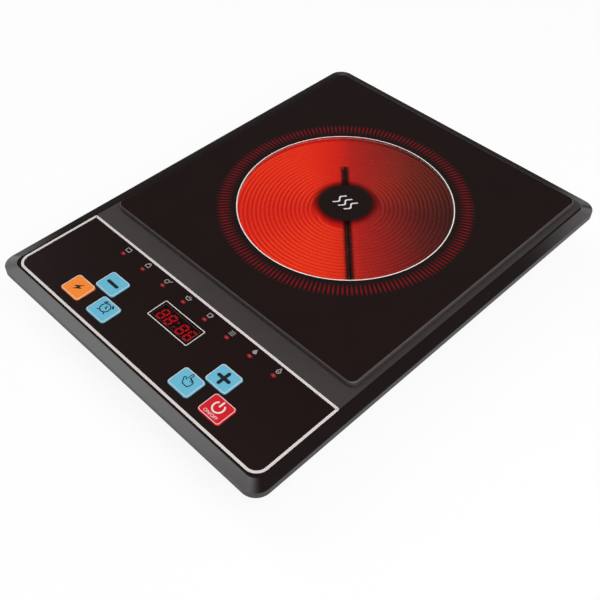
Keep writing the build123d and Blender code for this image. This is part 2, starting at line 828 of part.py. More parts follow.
# Ring of insulation that bears against the glass, notched for the limiter rod
with BuildPart() as insulation_ring:
    with BuildSketch(Plane.XY.offset(z_insulation_top)):
        with Locations((0, heater_y)):
            Circle(insulation_radius)
            Circle(ring_inner_radius, mode=Mode.SUBTRACT)
    extrude(amount=z_glass - z_insulation_top)
    with BuildSketch(level_plane(limiter_angle, z_insulation_top)):
        Rectangle(pan_radius, 2 * (rod_radius + rod_gap), align=(Align.MIN, Align.CENTER))
    extrude(amount=z_glass - z_insulation_top, mode=Mode.SUBTRACT)
insulation_ring.part.label = "insulation_ring"
export_step(insulation_ring.part, "parts/insulation_ring.step")

# Heating coil: one strip wound inwards and back out again, as half turns about two centres,
# with an S of two half circles through the middle. Each arc is its centre, radius, start angle and sweep.
half_pitch = coil_pitch / 2
half_turn = 180
coil_arcs = []
for k in reversed(range(coil_half_turns - 1)):
    start, side = (0, 1) if k % 2 == 0 else (half_turn, -1)
    coil_arcs.append((side * half_pitch, coil_reach[k] + half_pitch, start, -half_turn))
coil_arcs.append((-coil_start_radius / 2, coil_start_radius / 2, half_turn, -half_turn))
coil_arcs.append((coil_start_radius / 2, coil_start_radius / 2, half_turn, half_turn))
for k in range(coil_half_turns):
    start, side = (0, 1) if k % 2 == 0 else (half_turn, -1)
    coil_arcs.append((-side * half_pitch, coil_reach[k] + half_pitch, start, half_turn))
with BuildPart() as heating_coil:
    with BuildSketch(level_plane(coil_exit_angle, z_insulation_top)):
        with BuildLine():
            for center, radius, start, sweep_angle in coil_arcs:
                CenterArc((center, 0), radius - coil_width / 2, start, sweep_angle)
                CenterArc((center, 0), radius + coil_width / 2, start, sweep_angle)
            for end, run in coil_ends:
                near, far = end - coil_width / 2, end + coil_width / 2
                Polyline((near, 0), (near, run), (far, run), (far, 0))
        make_face()
    extrude(amount=coil_height)
heating_coil.part.label = "heating_coil"
export_step(heating_coil.part, "parts/heating_coil.step")

# Least gap between the coil's turns, measured on points of its centre line
coil_steps = 36
coil_line = []
travelled = 0.0
for center, radius, start, sweep_angle in coil_arcs:
    for i in range(coil_steps):
        turn = radians(start + sweep_angle * i / coil_steps)
        coil_line.append((travelled, center + radius * cos(turn), radius * sin(turn)))
        travelled += radius * pi / coil_steps
coil_gap = min(
    hypot(xb - xa, yb - ya)
    for i, (run_a, xa, ya) in enumerate(coil_line)
    for run_b, xb, yb in coil_line[i + 1:]
    if run_b - run_a > coil_start_radius
) - coil_width
print(f"heating coil: least gap to itself {coil_gap:.2f} mm")

# Terminal pins down through the insulation, and the ceramic block that holds them in the pan
z_lead = z_power_board + block_entry_height
with BuildPart() as coil_terminals:
    with BuildSketch(level_plane(coil_exit_angle, z_insulation_top)):
        with Locations(*terminal_points):
            Circle(terminal_radius)
    extrude(amount=z_lead - 2 * lead_radius - z_insulation_top)
coil_terminals.part.label = "coil_terminals"
export_step(coil_terminals.part, "parts/coil_terminals.step")

with BuildPart() as terminal_insulator:
    with BuildSketch(level_plane(coil_exit_angle, z_pan)):
        with Locations(insulator_point):
            Rectangle(terminal_insulator_length, terminal_insulator_width)
    extrude(amount=-terminal_insulator_height)
    with BuildSketch(level_plane(coil_exit_angle, z_pan)):
        with Locations(insulator_point):
            Rectangle(
                terminal_insulator_length - 2 * terminal_slot_margin - 2 * fit_gap,
                terminal_insulator_width - 2 * terminal_slot_margin - 2 * fit_gap,
            )
    extrude(amount=pan_sheet)
    with BuildSketch(level_plane(coil_exit_angle, z_pan_inside)):
        with Locations(*terminal_points):
            Circle(terminal_radius + thread_gap)
    extrude(amount=-pan_sheet - terminal_insulator_height, mode=Mode.SUBTRACT)
terminal_insulator.part.label = "terminal_insulator"
export_step(terminal_insulator.part, "parts/terminal_insulator.step")

# Temperature limiter: quartz rod over the coil, and the switch housing it ends in
limiter_dir = upright_plane(limiter_angle).x_dir
rod_start = Vector(0, heater_y, z_rod) - limiter_dir * rod_far_reach
with BuildPart() as limiter_rod:
    with BuildSketch(Plane(origin=rod_start, z_dir=limiter_dir)):
        Circle(rod_radius)
    extrude(amount=rod_far_reach + limiter_start)
limiter_rod.part.label = "limiter_rod"
export_step(limiter_rod.part, "parts/limiter_rod.step")

with BuildPart() as limiter_housing:
    with BuildSketch(level_plane(limiter_angle, z_limiter_seat)):
        with Locations((limiter_start, 0)):
            Rectangle(limiter_length, limiter_width, align=(Align.MIN, Align.CENTER))
    extrude(amount=z_glass - limiter_drop - z_limiter_seat)
    chamfer(edges().filter_by(Axis.Z), limiter_chamfer)
limiter_housing.part.label = "limiter_housing"
export_step(limiter_housing.part, "parts/limiter_housing.step")

with BuildPart() as limiter_terminals:
    with BuildSketch(level_plane(limiter_angle, z_limiter_seat + pan_sheet)):
        with Locations((limiter_end, -limiter_tab_spacing / 2), (limiter_end, limiter_tab_spacing / 2)):
            Rectangle(limiter_tab_length, limiter_tab_width, align=(Align.MIN, Align.CENTER))
    extrude(amount=limiter_tab_thickness)
limiter_terminals.part.label = "limiter_terminals"
export_step(limiter_terminals.part, "parts/limiter_terminals.step")

# Leaf springs from the tray's floor to the pan's bottom
z_spring_foot = z_floor_top + spring_boss_height
with BuildPart() as heater_springs:
    for spring_angle in spring_angles:
        with BuildSketch(upright_plane(spring_angle)):
            with BuildLine():
                Polyline(
                    (spring_foot_start, z_spring_foot),
                    (spring_foot_end, z_spring_foot),
                    (spring_top_start, z_pan - spring_sheet),
                    (spring_top_end, z_pan - spring_sheet),
                )
                offset(amount=spring_sheet, side=Side.RIGHT, kind=Kind.INTERSECTION)
            make_face()
        extrude(amount=spring_width / 2, both=True)
    with BuildSketch(Plane.XY.offset(z_spring_foot)):
        with Locations(*spring_points):
            Circle(screw_radius + screw_gap)
    extrude(amount=spring_sheet, mode=Mode.SUBTRACT)
heater_springs.part.label = "heater_springs"
export_step(heater_springs.part, "parts/heater_springs.step")

spring_screws = make_screws(spring_points, z_spring_foot + spring_sheet, spring_screw_length, False)
spring_screws.part.label = "spring_screws"
export_step(spring_screws.part, "parts/spring_screws.step")

# Power board on the tray's standoffs
with BuildPart() as power_board:
    with BuildSketch(Plane.XY.offset(z_power_board)):
        with Locations((power_board_x, power_board_y)):
            Rectangle(power_board_width, power_board_length)
        with Locations(*standoff_points):
            Circle(screw_radius + screw_gap, mode=Mode.SUBTRACT)
    extrude(amount=-board_thickness)
power_board.part.label = "power_board"
export_step(power_board.part, "parts/power_board.step")

power_screws = make_screws(standoff_points, z_power_board, power_screw_length, False)
power_screws.part.label = "power_screws"
export_step(power_screws.part, "parts/power_screws.step")

# Finned heat sink, and the switching device clipped to its flat face
sink_x, sink_y = board_point(sink_width / 2 - part_limit_x, part_limit_y - sink_length / 2)
sink_face_y = sink_y - sink_length / 2
with BuildPart() as heat_sink:
    with BuildSketch(Plane.XY.offset(z_power_board)):
        with Locations((sink_x, sink_face_y)):
            Rectangle(sink_width, sink_base, align=(Align.CENTER, Align.MIN))
        with Locations((sink_x, sink_y)):
            with GridLocations((sink_width - sink_fin) / (sink_fin_count - 1), 0, sink_fin_count, 1):
                Rectangle(sink_fin, sink_length)
    extrude(amount=sink_height)
heat_sink.part.label = "heat_sink"
export_step(heat_sink.part, "parts/heat_sink.step")

with BuildPart() as triac:
    with BuildSketch(Plane.XY.offset(z_power_board)):
        with Locations((sink_x, sink_face_y)):
            Rectangle(triac_width, triac_thickness, align=(Align.CENTER, Align.MAX))
    extrude(amount=triac_height)
    chamfer(edges().filter_by(Axis.Z).group_by(Axis.Y)[0], triac_chamfer)
triac.part.label = "triac"
export_step(triac.part, "parts/triac.step")

capacitor_y = capacitor_edge + (capacitor_length - power_board_length) / 2
with BuildPart() as filter_capacitor:
    with BuildSketch(Plane.XY.offset(z_power_board)):
        with Locations(board_point(part_limit_x - capacitor_width / 2, capacitor_y)):
            RectangleRounded(capacitor_width, capacitor_length, capacitor_corner_radius)
    extrude(amount=capacitor_height)
filter_capacitor.part.label = "filter_capacitor"
export_step(filter_capacitor.part, "parts/filter_capacitor.step")

# Transformer: a core with a winding standing in its window
core_x, core_y = board_point(part_limit_x - transformer_width / 2, transformer_shift_y)
with BuildPart() as transformer:
    with BuildSketch(Plane.XY.offset(z_power_board)):
        with Locations((core_x, core_y)):
            Rectangle(transformer_width, transformer_length)
    extrude(amount=transformer_height)
    with BuildSketch(Plane.XZ.offset(-core_y)):
        with Locations((core_x, z_power_board + transformer_height / 2)):
            with GridLocations(transformer_width / 2, 0, 2, 1):
                Rectangle(transformer_window, transformer_height - transformer_window)
    extrude(amount=transformer_length, both=True, mode=Mode.SUBTRACT)
    with BuildSketch(Plane.XY.offset(z_power_board + transformer_window / 2)):
        with Locations((core_x, core_y)):
            Ellipse(transformer_width / 2 - winding_margin, transformer_length / 2)
    extrude(amount=transformer_height - transformer_window)
transformer.part.label = "transformer"
export_step(transformer.part, "parts/transformer.step")

with BuildPart() as relay:
    with BuildSketch(Plane.XY.offset(z_power_board)):
        with Locations(board_point(relay_shift_x, relay_shift_y)):
            Rectangle(relay_width, relay_length)
    extrude(amount=relay_height)
    chamfer(faces().sort_by(Axis.Z)[-1].edges(), relay_chamfer)
relay.part.label = "relay"
export_step(relay.part, "parts/relay.step")

# Terminal block: wire entries at the back, screw wells on top
block_width = block_ways * block_way
block_x, block_y = board_point(part_limit_x - block_width / 2, (power_board_length - block_length) / 2)
block_back_y = block_y + block_length / 2
block_ways_x = [block_x + (i - (block_ways - 1) / 2) * block_way for i in range(block_ways)]
with BuildPart() as terminal_block:
    with BuildSketch(Plane.XY.offset(z_power_board)):
        with Locations((block_x, block_y)):
            Rectangle(block_width, block_length)
    extrude(amount=block_height)
    with BuildSketch(Plane.XY.offset(z_power_board + block_height)):
        with Locations(*[(x, block_y) for x in block_ways_x]):
            Circle(block_hole_radius)
    extrude(amount=block_entry_height - block_height + lead_radius, mode=Mode.SUBTRACT)
terminal_block.part.label = "terminal_block"
export_step(terminal_block.part, "parts/terminal_block.step")

# Leads from the coil's pins forwards to the terminal block, each with one bend either way
lead_way = (0, -1, 0)
with BuildPart() as heater_leads:
    for (reach, across), way_x in zip(terminal_points, reversed(block_ways_x)):
        pin = level_plane(coil_exit_angle, z_lead).from_local_coords((reach + terminal_radius, across))
        pin_point = (pin.X, pin.Y, z_lead)
        block_point = (way_x, block_back_y, z_lead)
        middle = tuple((a + b) / 2 for a, b in zip(pin_point, block_point))
        with BuildLine() as lead_path:
            first_bend = TangentArc(pin_point, middle, tangent=lead_way)
            TangentArc(middle, block_point, tangent=first_bend % 1)
        with BuildSketch(Plane(origin=pin_point, z_dir=lead_way)):
            Circle(lead_radius)
        sweep(path=lead_path.wire())
heater_leads.part.label = "heater_leads"
export_step(heater_leads.part, "parts/heater_leads.step")

# Ribbon cable between the boards, and the sockets it plugs into
socket_x, socket_y = board_point(connector_shift_x, connector_shift_y)
z_socket_top = z_control_board - board_thickness - connector_height
z_socket = z_power_board + connector_height
socket_top_y = control_board_y + control_board_length / 2 - connector_edge
with BuildPart() as ribbon_connectors:
    with BuildSketch(Plane.XY.offset(z_power_board)):
        with Locations((socket_x, socket_y)):
            Rectangle(cable_width + connector_length, connector_length)
    extrude(amount=connector_height)
    with BuildSketch(Plane.XY.offset(z_socket_top)):
        with Locations((socket_x, socket_top_y)):
            Rectangle(cable_width + connector_length, connector_length)
    extrude(amount=connector_height)
ribbon_connectors.part.label = "ribbon_connectors"
export_step(ribbon_connectors.part, "parts/ribbon_connectors.step")

with BuildPart() as ribbon_cable:
    with BuildSketch(Plane.YZ.offset(socket_x)):
        with BuildLine():
            Polyline(
                (socket_top_y, z_socket_top),
                (socket_top_y, z_socket_top - cable_run),
                (socket_y, z_socket + cable_run),
                (socket_y, z_socket),
            )
            offset(amount=cable_thickness, side=Side.LEFT, kind=Kind.INTERSECTION)
        make_face()
    extrude(amount=cable_width / 2, both=True)
ribbon_cable.part.label = "ribbon_cable"
export_step(ribbon_cable.part, "parts/ribbon_cable.step")

# Fan frame: flange, duct, and a bearing tube on three spokes
fan_point = (fan_x, fan_y)
z_fan_roof = z_fan + fan_height - fan_axial_gap - fan_hub_wall
with BuildPart() as fan_frame:
    with BuildSketch(Plane.XY.offset(z_fan)):
        with Locations(fan_point):
            RectangleRounded(fan_size, fan_size, fan_hole_inset)
            Circle(fan_duct_radius, mode=Mode.SUBTRACT)
            Circle(fan_hub_radius)
            with PolarLocations(fan_duct_radius / 2, 3):
                Rectangle(fan_duct_radius + fan_duct_wall, fan_spoke_width)
        with Locations(*fan_points):
            Circle(screw_radius + screw_gap, mode=Mode.SUBTRACT)
    extrude(amount=fan_plate)
    with BuildSketch(Plane.XY.offset(z_fan)):
        with Locations(fan_point):
            Circle(fan_duct_radius + fan_duct_wall)
            Circle(fan_duct_radius, mode=Mode.SUBTRACT)
    extrude(amount=fan_height)
    with BuildSketch(Plane.XY.offset(z_fan)):
        with Locations(fan_point):
            Circle(fan_bearing_radius)
    extrude(amount=z_fan_roof - fan_axial_gap - z_fan)
    with BuildSketch(Plane.XY.offset(z_fan + fan_plate)):
        with Locations(fan_point):
            Circle(fan_shaft_radius + fan_shaft_gap)
    extrude(amount=fan_height, mode=Mode.SUBTRACT)
fan_frame.part.label = "fan_frame"
export_step(fan_frame.part, "parts/fan_frame.step")

# Stator inside the hub: four poles round the bearing tube
with BuildPart() as fan_stator:
    with BuildSketch(Plane.XY.offset(z_fan + fan_plate)):
        with Locations(fan_point):
            Circle(fan_hub_radius - fan_hub_wall - fan_stator_gap)
            with PolarLocations(fan_hub_radius - fan_hub_wall, 4):
                Rectangle(fan_bearing_radius * 2, fan_bearing_radius, mode=Mode.SUBTRACT)
            Circle(fan_bearing_radius + thread_gap, mode=Mode.SUBTRACT)
    extrude(amount=z_fan_roof - 2 * fan_axial_gap - z_fan - fan_plate)
fan_stator.part.label = "fan_stator"
export_step(fan_stator.part, "parts/fan_stator.step")

# Rotor: a cup on a shaft with twisted blades, each lofted from its root to its tip
fan_tip_radius = sqrt((fan_duct_radius - fan_tip_gap) ** 2 - (fan_tip_chord / 2) ** 2)
fan_root_radius = fan_hub_radius - fan_hub_wall / 2
z_rotor = z_fan + fan_plate + fan_axial_gap
z_blade = (z_rotor + z_fan_roof + fan_hub_wall) / 2
with BuildPart() as fan_rotor:
    with BuildSketch(Plane.XY.offset(z_rotor)):
        with Locations(fan_point):
            Circle(fan_hub_radius)
    extrude(amount=z_fan_roof + fan_hub_wall - z_rotor)
    for i in range(fan_blade_count):
        turn = 2 * pi * i / fan_blade_count
        outwards = Vector(cos(turn), sin(turn), 0)
        along = Vector(-sin(turn), cos(turn), 0)
        center = Vector(fan_x, fan_y, z_blade)
        with BuildSketch(Plane(origin=center + outwards * fan_root_radius, x_dir=along, z_dir=outwards)):
            Rectangle(fan_root_chord, fan_blade_thickness, rotation=fan_root_pitch)
        with BuildSketch(Plane(origin=center + outwards * fan_tip_radius, x_dir=along, z_dir=outwards)):
            Rectangle(fan_tip_chord, fan_blade_thickness, rotation=fan_tip_pitch)
        loft(ruled=True)
    with BuildSketch(Plane.XY.offset(z_rotor)):
        with Locations(fan_point):
            Circle(fan_hub_radius - fan_hub_wall)
    extrude(amount=z_fan_roof - z_rotor, mode=Mode.SUBTRACT)
    with BuildSketch(Plane.XY.offset(z_rotor)):
        with Locations(fan_point):
            Circle(fan_shaft_radius)
    extrude(amount=z_fan_roof - z_rotor)
fan_rotor.part.label = "fan_rotor"
export_step(fan_rotor.part, "parts/fan_rotor.step")

fan_screws = make_screws(fan_points, z_fan + fan_plate, fan_screw_length, False)
fan_screws.part.label = "fan_screws"
export_step(fan_screws.part, "parts/fan_screws.step")
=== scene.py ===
from math import cos, hypot, pi, radians, sin, sqrt

import bpy
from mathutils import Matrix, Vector


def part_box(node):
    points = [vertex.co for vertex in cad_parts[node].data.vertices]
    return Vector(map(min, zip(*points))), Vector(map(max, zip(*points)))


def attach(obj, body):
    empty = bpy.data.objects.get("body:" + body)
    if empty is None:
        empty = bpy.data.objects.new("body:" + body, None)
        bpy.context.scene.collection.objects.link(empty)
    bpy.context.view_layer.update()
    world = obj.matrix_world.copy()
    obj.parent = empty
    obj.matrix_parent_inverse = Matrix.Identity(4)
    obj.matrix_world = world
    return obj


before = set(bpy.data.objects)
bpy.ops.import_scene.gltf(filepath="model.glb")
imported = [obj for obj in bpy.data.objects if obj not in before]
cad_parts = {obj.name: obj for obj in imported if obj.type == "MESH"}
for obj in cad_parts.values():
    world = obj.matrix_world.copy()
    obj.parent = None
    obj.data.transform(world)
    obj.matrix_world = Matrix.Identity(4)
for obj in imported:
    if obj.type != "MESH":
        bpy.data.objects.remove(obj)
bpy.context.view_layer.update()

# Lengths below are millimetres; the frame is in metres
MM = 0.001


def box_mm(node):
    """A CAD node's lowest and highest corner in millimetres."""
    low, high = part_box(node)
    return low / MM, high / MM


glass_low, glass_high = box_mm("glass_plate")
panel_low, panel_high = box_mm("panel_overlay")
window_low, window_high = box_mm("display_window")
lens_low, lens_high = box_mm("indicator_lenses")
module_low, module_high = box_mm("display_module")
rod_low, rod_high = box_mm("limiter_rod")
power_low, power_high = box_mm("key_power")
glass_thickness = glass_high.z - glass_low.z
heater_y = (glass_low.y + glass_high.y) / 2
panel_center = (panel_low + panel_high) / 2
panel_size = panel_high - panel_low
panel_z = panel_high.z
window_center = (window_low + window_high) / 2
window_size = window_high - window_low
lens_center = (lens_low + lens_high) / 2
module_size = module_high - module_low
power_center = (power_low + power_high) / 2

# Height of the bevel that runs round the housing under its deck
bevel_rise = 2.2

# Prints and finishes pass into each other over about this width
edge_blur = 0.15

# Prints on the glass; they lie a little nearer to the user than the heater, as in the photo
print_x = -0.3
print_y = heater_y - 1.5
window_radius = 84.6
ring_radius = 85.0
ring_width = 0.75
tick_inner_radius = 87.5
tick_full_radius = 96.0
tick_outer_radius = 101.8
tick_count = 180
tick_share = 0.35
tick_blur = 0.08
hub_inner_radius = 20.0
hub_rim = 2.0
# Painted shade round the hub reaches out to this radius
hub_shade_radius = 29.0
wave_pitch = 6.0
wave_count = 3
wave_swing = 1.3
wave_length = 9.0
wave_height = 13.0
wave_width = 1.5

# Prints on the control panel
print_thickness = 0.04
border_width = 2.0
border_front_radius = 10.0
border_back_radius = 1.0
key_line_width = 0.5
key_edge = 0.5
key_corner_radius = 2.5
key_width = 20.4
sign_length = 12.2
sign_width = 2.7
symbol_lift = 1.2
label_height = 2.4
label_drop = 5.6
capital_share = 0.7
display_line_width = 0.6
digit_width = 6.4
digit_height = 10.4
digit_stroke = 1.4
digit_slant = 0.1
digit_gap = 0.25
digit_places = (-14.4, -6.2, 6.2, 14.4)
colon_rise = 2.4
colon_size = 1.4
pictogram_rise = 5.2
pictogram_line = 0.7
pictogram_thin_line = 0.5
pictogram_handle = 0.8
pictogram_bar = 0.6
lens_count = 8
lens_flange_length = 6.0
lens_pitch = (lens_high.x - lens_low.x - lens_flange_length) / (lens_count - 1)
mitre_limit = 0.3
same_point = 1e-6

# Finishes: grain, cloud, band, margin and relief are lengths; a pair is a start and an end
noise_detail = 3.0
noise_range = (0.3, 0.7)
cloud_per_grain = 12
surface_roughness_swing = 0.05
glass_cloud = 30.0
glass_ior = 1.47
polish_cloud = 18.0
polish_noise = (0.35, 0.75)
polish_roughness = (0.03, 0.09)
underside_band = (0.05, 0.15)
ground_slope = (0.9, 0.98)
ground_roughness = 0.45
housing_grain = 0.4
housing_cloud = 20.0
housing_relief = 0.006
deck_band = (-0.3, -0.05)
bevel_roughness = 0.07
satin_roughness = 0.45
housing_roughness_swing = 0.06
window_cloud = 3.0
window_grain = 2.0
window_margin = 0.6
window_roughness = (0.04, 0.08)
window_tint = (0.5, 0.25, 0.24)
window_ior = 1.49
window_specular = 0.3
lens_grain = 0.4
lens_core = (0.2, 1.5)
lens_emission = 0.15
lens_roughness = (0.2, 0.3)

# Colours of the finishes as the eye sees them, in 0 to 255
glass_dark = (27, 17, 16)
glass_light = (32, 21, 20)
ring_colour = (250, 242, 236)
tick_colour = (128, 17, 25)
wave_colour = (228, 224, 222)
# Colour of the glass's ground edge, made lighter as a painted highlight
ground_highlight_colour = (70, 63, 61)
housing_dark = (24, 18, 17)
housing_light = (29, 23, 22)
deck_dark = (52, 46, 46)
deck_light = (58, 52, 52)
window_dark = (26, 15, 14)
window_light = (31, 20, 18)
lens_dark = (108, 22, 28)
lens_light = (122, 26, 32)
lens_lit = (176, 60, 66)

# Glow of the heater
glass_tint = 0.5
glow_strength = 1 / glass_tint
glow_reach = 85.0
glow_grain = 1.2
glow_speckle = 0.25
glow_dark_share = 0.7
glow_roughness_swing = 0.08
glow_relief = 0.05
inner_turn_radius = 26.0
inner_turn_blur = 2.0
rod_shade_inner = 1.4
rod_shade_outer = 5.0
# Each lobe of the painted sheen on the turns: its angle and half width in degrees, anticlockwise from the
# user's right, and strength
painted_sheen_lobes = ((285, 45, 1.0), (190, 38, 0.6), (75, 42, 0.5))
# Each stop of a glow: its place from the front left to the back right, in shares of the reach, and its colour
# The board makes no light of its own: its glow is the coil's light on it, painted in
board_painted_glow = (
    (-0.35, (210, 26, 14)),
    (-0.10, (196, 22, 14)),
    (0.09, (156, 24, 21)),
    (0.35, (126, 24, 21)),
    (0.66, (84, 22, 19)),
    (0.95, (56, 21, 18)),
)
coil_glow = (
    (-0.35, (242, 46, 20)),
    (-0.10, (228, 36, 18)),
    (0.09, (186, 33, 26)),
    (0.35, (152, 32, 27)),
    (0.66, (104, 29, 25)),
    (0.95, (70, 26, 22)),
)
# How the painted sheen is blended in, and its linear colour: a painted highlight added to the coil's glow, a
# painted shade multiplied into the board's
board_sheen_shade = ("MULTIPLY", (0.80, 0.70, 0.60, 1.0))
coil_sheen_highlight = ("ADD", (0.12, 0.015, 0.002, 1.0))
# Gain of the glow inside the innermost turn; on the board it paints in more of the coil's light
board_painted_core = 1.45
coil_core = 1.0

# Camera
camera_target = Vector((40.3, -48.6, 45.6))
camera_azimuth = 45.19
camera_elevation = 47.17
camera_distance = 636.7
camera_lens = 52.85
camera_clip = 10.0

# Studio, with lengths in metres
floor_size = 20.0
floor_grey = 0.95
floor_roughness = 0.9
floor_white_share = 0.88
horizon_height = 0.08
dusk_height = 0.095
overhead_grey = 0.07
lamp_distance = 2.0
# Each lamp: the way to it, its width and height, its power in watts, and the share that its edge fades over
lamps = {
    "key": ((-0.476, -0.179, 0.861), 0.98, 2.8, 29.7, 0.38),
    "fill": ((0.62, -0.25, 0.75), 1.6, 1.6, 37.0, 0.0),
    "side": ((-0.91, -0.031, 0.414), 1.19, 1.15, 8.0, 0.28),
    "rim": ((-0.033, 0.965, 0.259), 0.96, 0.59, 1.5, 0.15),
    "corner": ((0.182, 0.836, 0.517), 1.1, 1.09, 6.19, 0.21),
}


def srgb(red, green, blue):
    """A colour in 0 to 255 as the eye sees it, as linear RGBA."""
    parts = [c / 255 for c in (red, green, blue)]
    return (*[c / 12.92 if c <= 0.04045 else ((c + 0.055) / 1.055) ** 2.4 for c in parts], 1.0)


def scaled(colour, share):
    """A linear colour made darker or lighter, at most white."""
    return (*[min(1.0, c * share) for c in colour[:3]], 1.0)


# Node helpers: they add nodes to a tree, and most return an output
def feed(tree, socket, value):
    """Links an output to a socket, or sets a constant on it."""
    if isinstance(value, bpy.types.NodeSocket):
        tree.links.new(value, socket)
    else:
        socket.default_value = value


def calc(tree, operation, *values):
    node = tree.nodes.new("ShaderNodeMath")
    node.operation = operation
    for socket, value in zip(node.inputs, values):
        feed(tree, socket, value)
    return node.outputs[0]


def fade(tree, value, start, end, to_start=0.0, to_end=1.0):
    """Smooth step from to_start to to_end as the value goes from start to end."""
    node = tree.nodes.new("ShaderNodeMapRange")
    node.interpolation_type = "SMOOTHSTEP"
    names = ("Value", "From Min", "From Max", "To Min", "To Max")
    for name, given in zip(names, (value, start, end, to_start, to_end)):
        feed(tree, node.inputs[name], given)
    return node.outputs[0]


def within(tree, value, limit, blur=edge_blur):
    """One below a limit and zero above it, with a soft step."""
    return fade(tree, value, limit - blur, limit + blur, 1.0, 0.0)


def mix_colour(tree, factor, a, b, blend="MIX"):
    """A mix of two colours: of the node's many sockets, these are the ones for colours."""
    node = tree.nodes.new("ShaderNodeMix")
    node.data_type = "RGBA"
    node.blend_type = blend
    for index, given in ((0, factor), (6, a), (7, b)):
        feed(tree, node.inputs[index], given)
    return node.outputs[2]


def ramp(tree, factor, stops):
    """Colour ramp through (place, linear colour) stops."""
    node = tree.nodes.new("ShaderNodeValToRGB")
    feed(tree, node.inputs[0], factor)
    elements = node.color_ramp.elements
    while len(elements) < len(stops):
        elements.new(1.0)
    for element, (place, colour) in zip(elements, stops):
        element.position = place
        element.color = colour
    return node.outputs[0]


def noise(tree, size_mm):
    """Noise in the object's own space, with features of about this size."""
    place = tree.nodes.new("ShaderNodeTexCoord").outputs["Object"]
    node = tree.nodes.new("ShaderNodeTexNoise")
    feed(tree, node.inputs["Vector"], place)
    feed(tree, node.inputs["Scale"], 1 / (size_mm * MM))
    feed(tree, node.inputs["Detail"], noise_detail)
    return node.outputs[0]


def spread(tree, grain, low, high):
    """Noise drawn out to a range of values."""
    return fade(tree, grain, *noise_range, low, high)


def mottle(tree, size_mm, dark, light):
    """Two colours in 0 to 255, mixed by noise with features of about this size."""
    return mix_colour(tree, noise(tree, size_mm), srgb(*dark), srgb(*light))


def offset_mm(tree, center):
    """X, Y and Z in millimetres from a point of the frame."""
    place = tree.nodes.new("ShaderNodeTexCoord").outputs["Object"]
    split = tree.nodes.new("ShaderNodeSeparateXYZ")
    feed(tree, split.inputs[0], place)
    return [calc(tree, "SUBTRACT", calc(tree, "DIVIDE", split.outputs[i], MM), center[i]) for i in range(3)]


def distance(tree, x, y):
    squares = calc(tree, "ADD", calc(tree, "MULTIPLY", x, x), calc(tree, "MULTIPLY", y, y))
    return calc(tree, "SQRT", squares)


def bump(tree, shader, height, depth_mm):
    node = tree.nodes.new("ShaderNodeBump")
    feed(tree, node.inputs["Height"], height)
    node.inputs["Distance"].default_value = depth_mm * MM
    feed(tree, shader.inputs["Normal"], node.outputs[0])


def new_material(name):
    material = bpy.data.materials.new(name)
    material.use_nodes = True
    return material, material.node_tree, material.node_tree.nodes["Principled BSDF"]


def surface(
    name, colour, roughness, grain_mm, swing=0.12, depth_mm=0.01, metallic=0.0, specular=0.5, emission=0.0
):
    """A finish whose colour, roughness and relief vary with a grain of the given size."""
    material, tree, shader = new_material(name)
    base = srgb(*colour)
    cloud = noise(tree, grain_mm * cloud_per_grain)
    grain = noise(tree, grain_mm)
    tone = mix_colour(tree, cloud, scaled(base, 1 - swing), scaled(base, 1 + swing))
    feed(tree, shader.inputs["Base Color"], tone)
    smooth, coarse = roughness - surface_roughness_swing, roughness + surface_roughness_swing
    feed(tree, shader.inputs["Roughness"], spread(tree, grain, smooth, coarse))
    bump(tree, shader, grain, depth_mm)
    shader.inputs["Metallic"].default_value = metallic
    shader.inputs["Specular IOR Level"].default_value = specular
    if emission:
        feed(tree, shader.inputs["Emission Color"], tone)
        shader.inputs["Emission Strength"].default_value = emission
    return material


# Prints on the glass: each returns where its ink lies, from zero to one
def ring_print(tree, radius):
    off_ring = calc(tree, "ABSOLUTE", calc(tree, "SUBTRACT", radius, ring_radius))
    return within(tree, off_ring, ring_width / 2)


def tick_print(tree, x, y, radius):
    turn = calc(tree, "ARCTAN2", y, x)
    spoke = calc(tree, "PINGPONG", calc(tree, "MULTIPLY", turn, tick_count / (2 * pi)), 0.5)
    on_spoke = within(tree, spoke, tick_share / 2, tick_blur)
    rising = fade(tree, radius, tick_inner_radius, tick_full_radius)
    falling = fade(tree, radius, tick_full_radius, tick_outer_radius, 1.0, 0.0)
    return calc(tree, "MULTIPLY", on_spoke, calc(tree, "MULTIPLY", rising, falling))


def wave_print(tree, x, y):
    swing = calc(tree, "SINE", calc(tree, "MULTIPLY", y, 2 * pi / wave_length))
    shifted = calc(tree, "ADD", x, calc(tree, "MULTIPLY", swing, wave_swing))
    folded = calc(tree, "PINGPONG", calc(tree, "ADD", shifted, wave_pitch / 2), wave_pitch / 2)
    on_wave = within(tree, calc(tree, "SUBTRACT", wave_pitch / 2, folded), wave_width / 2)
    inside_x = within(tree, calc(tree, "ABSOLUTE", shifted), wave_count * wave_pitch / 2)
    inside_y = within(tree, calc(tree, "ABSOLUTE", y), wave_height / 2)
    return calc(tree, "MULTIPLY", on_wave, calc(tree, "MULTIPLY", inside_x, inside_y))
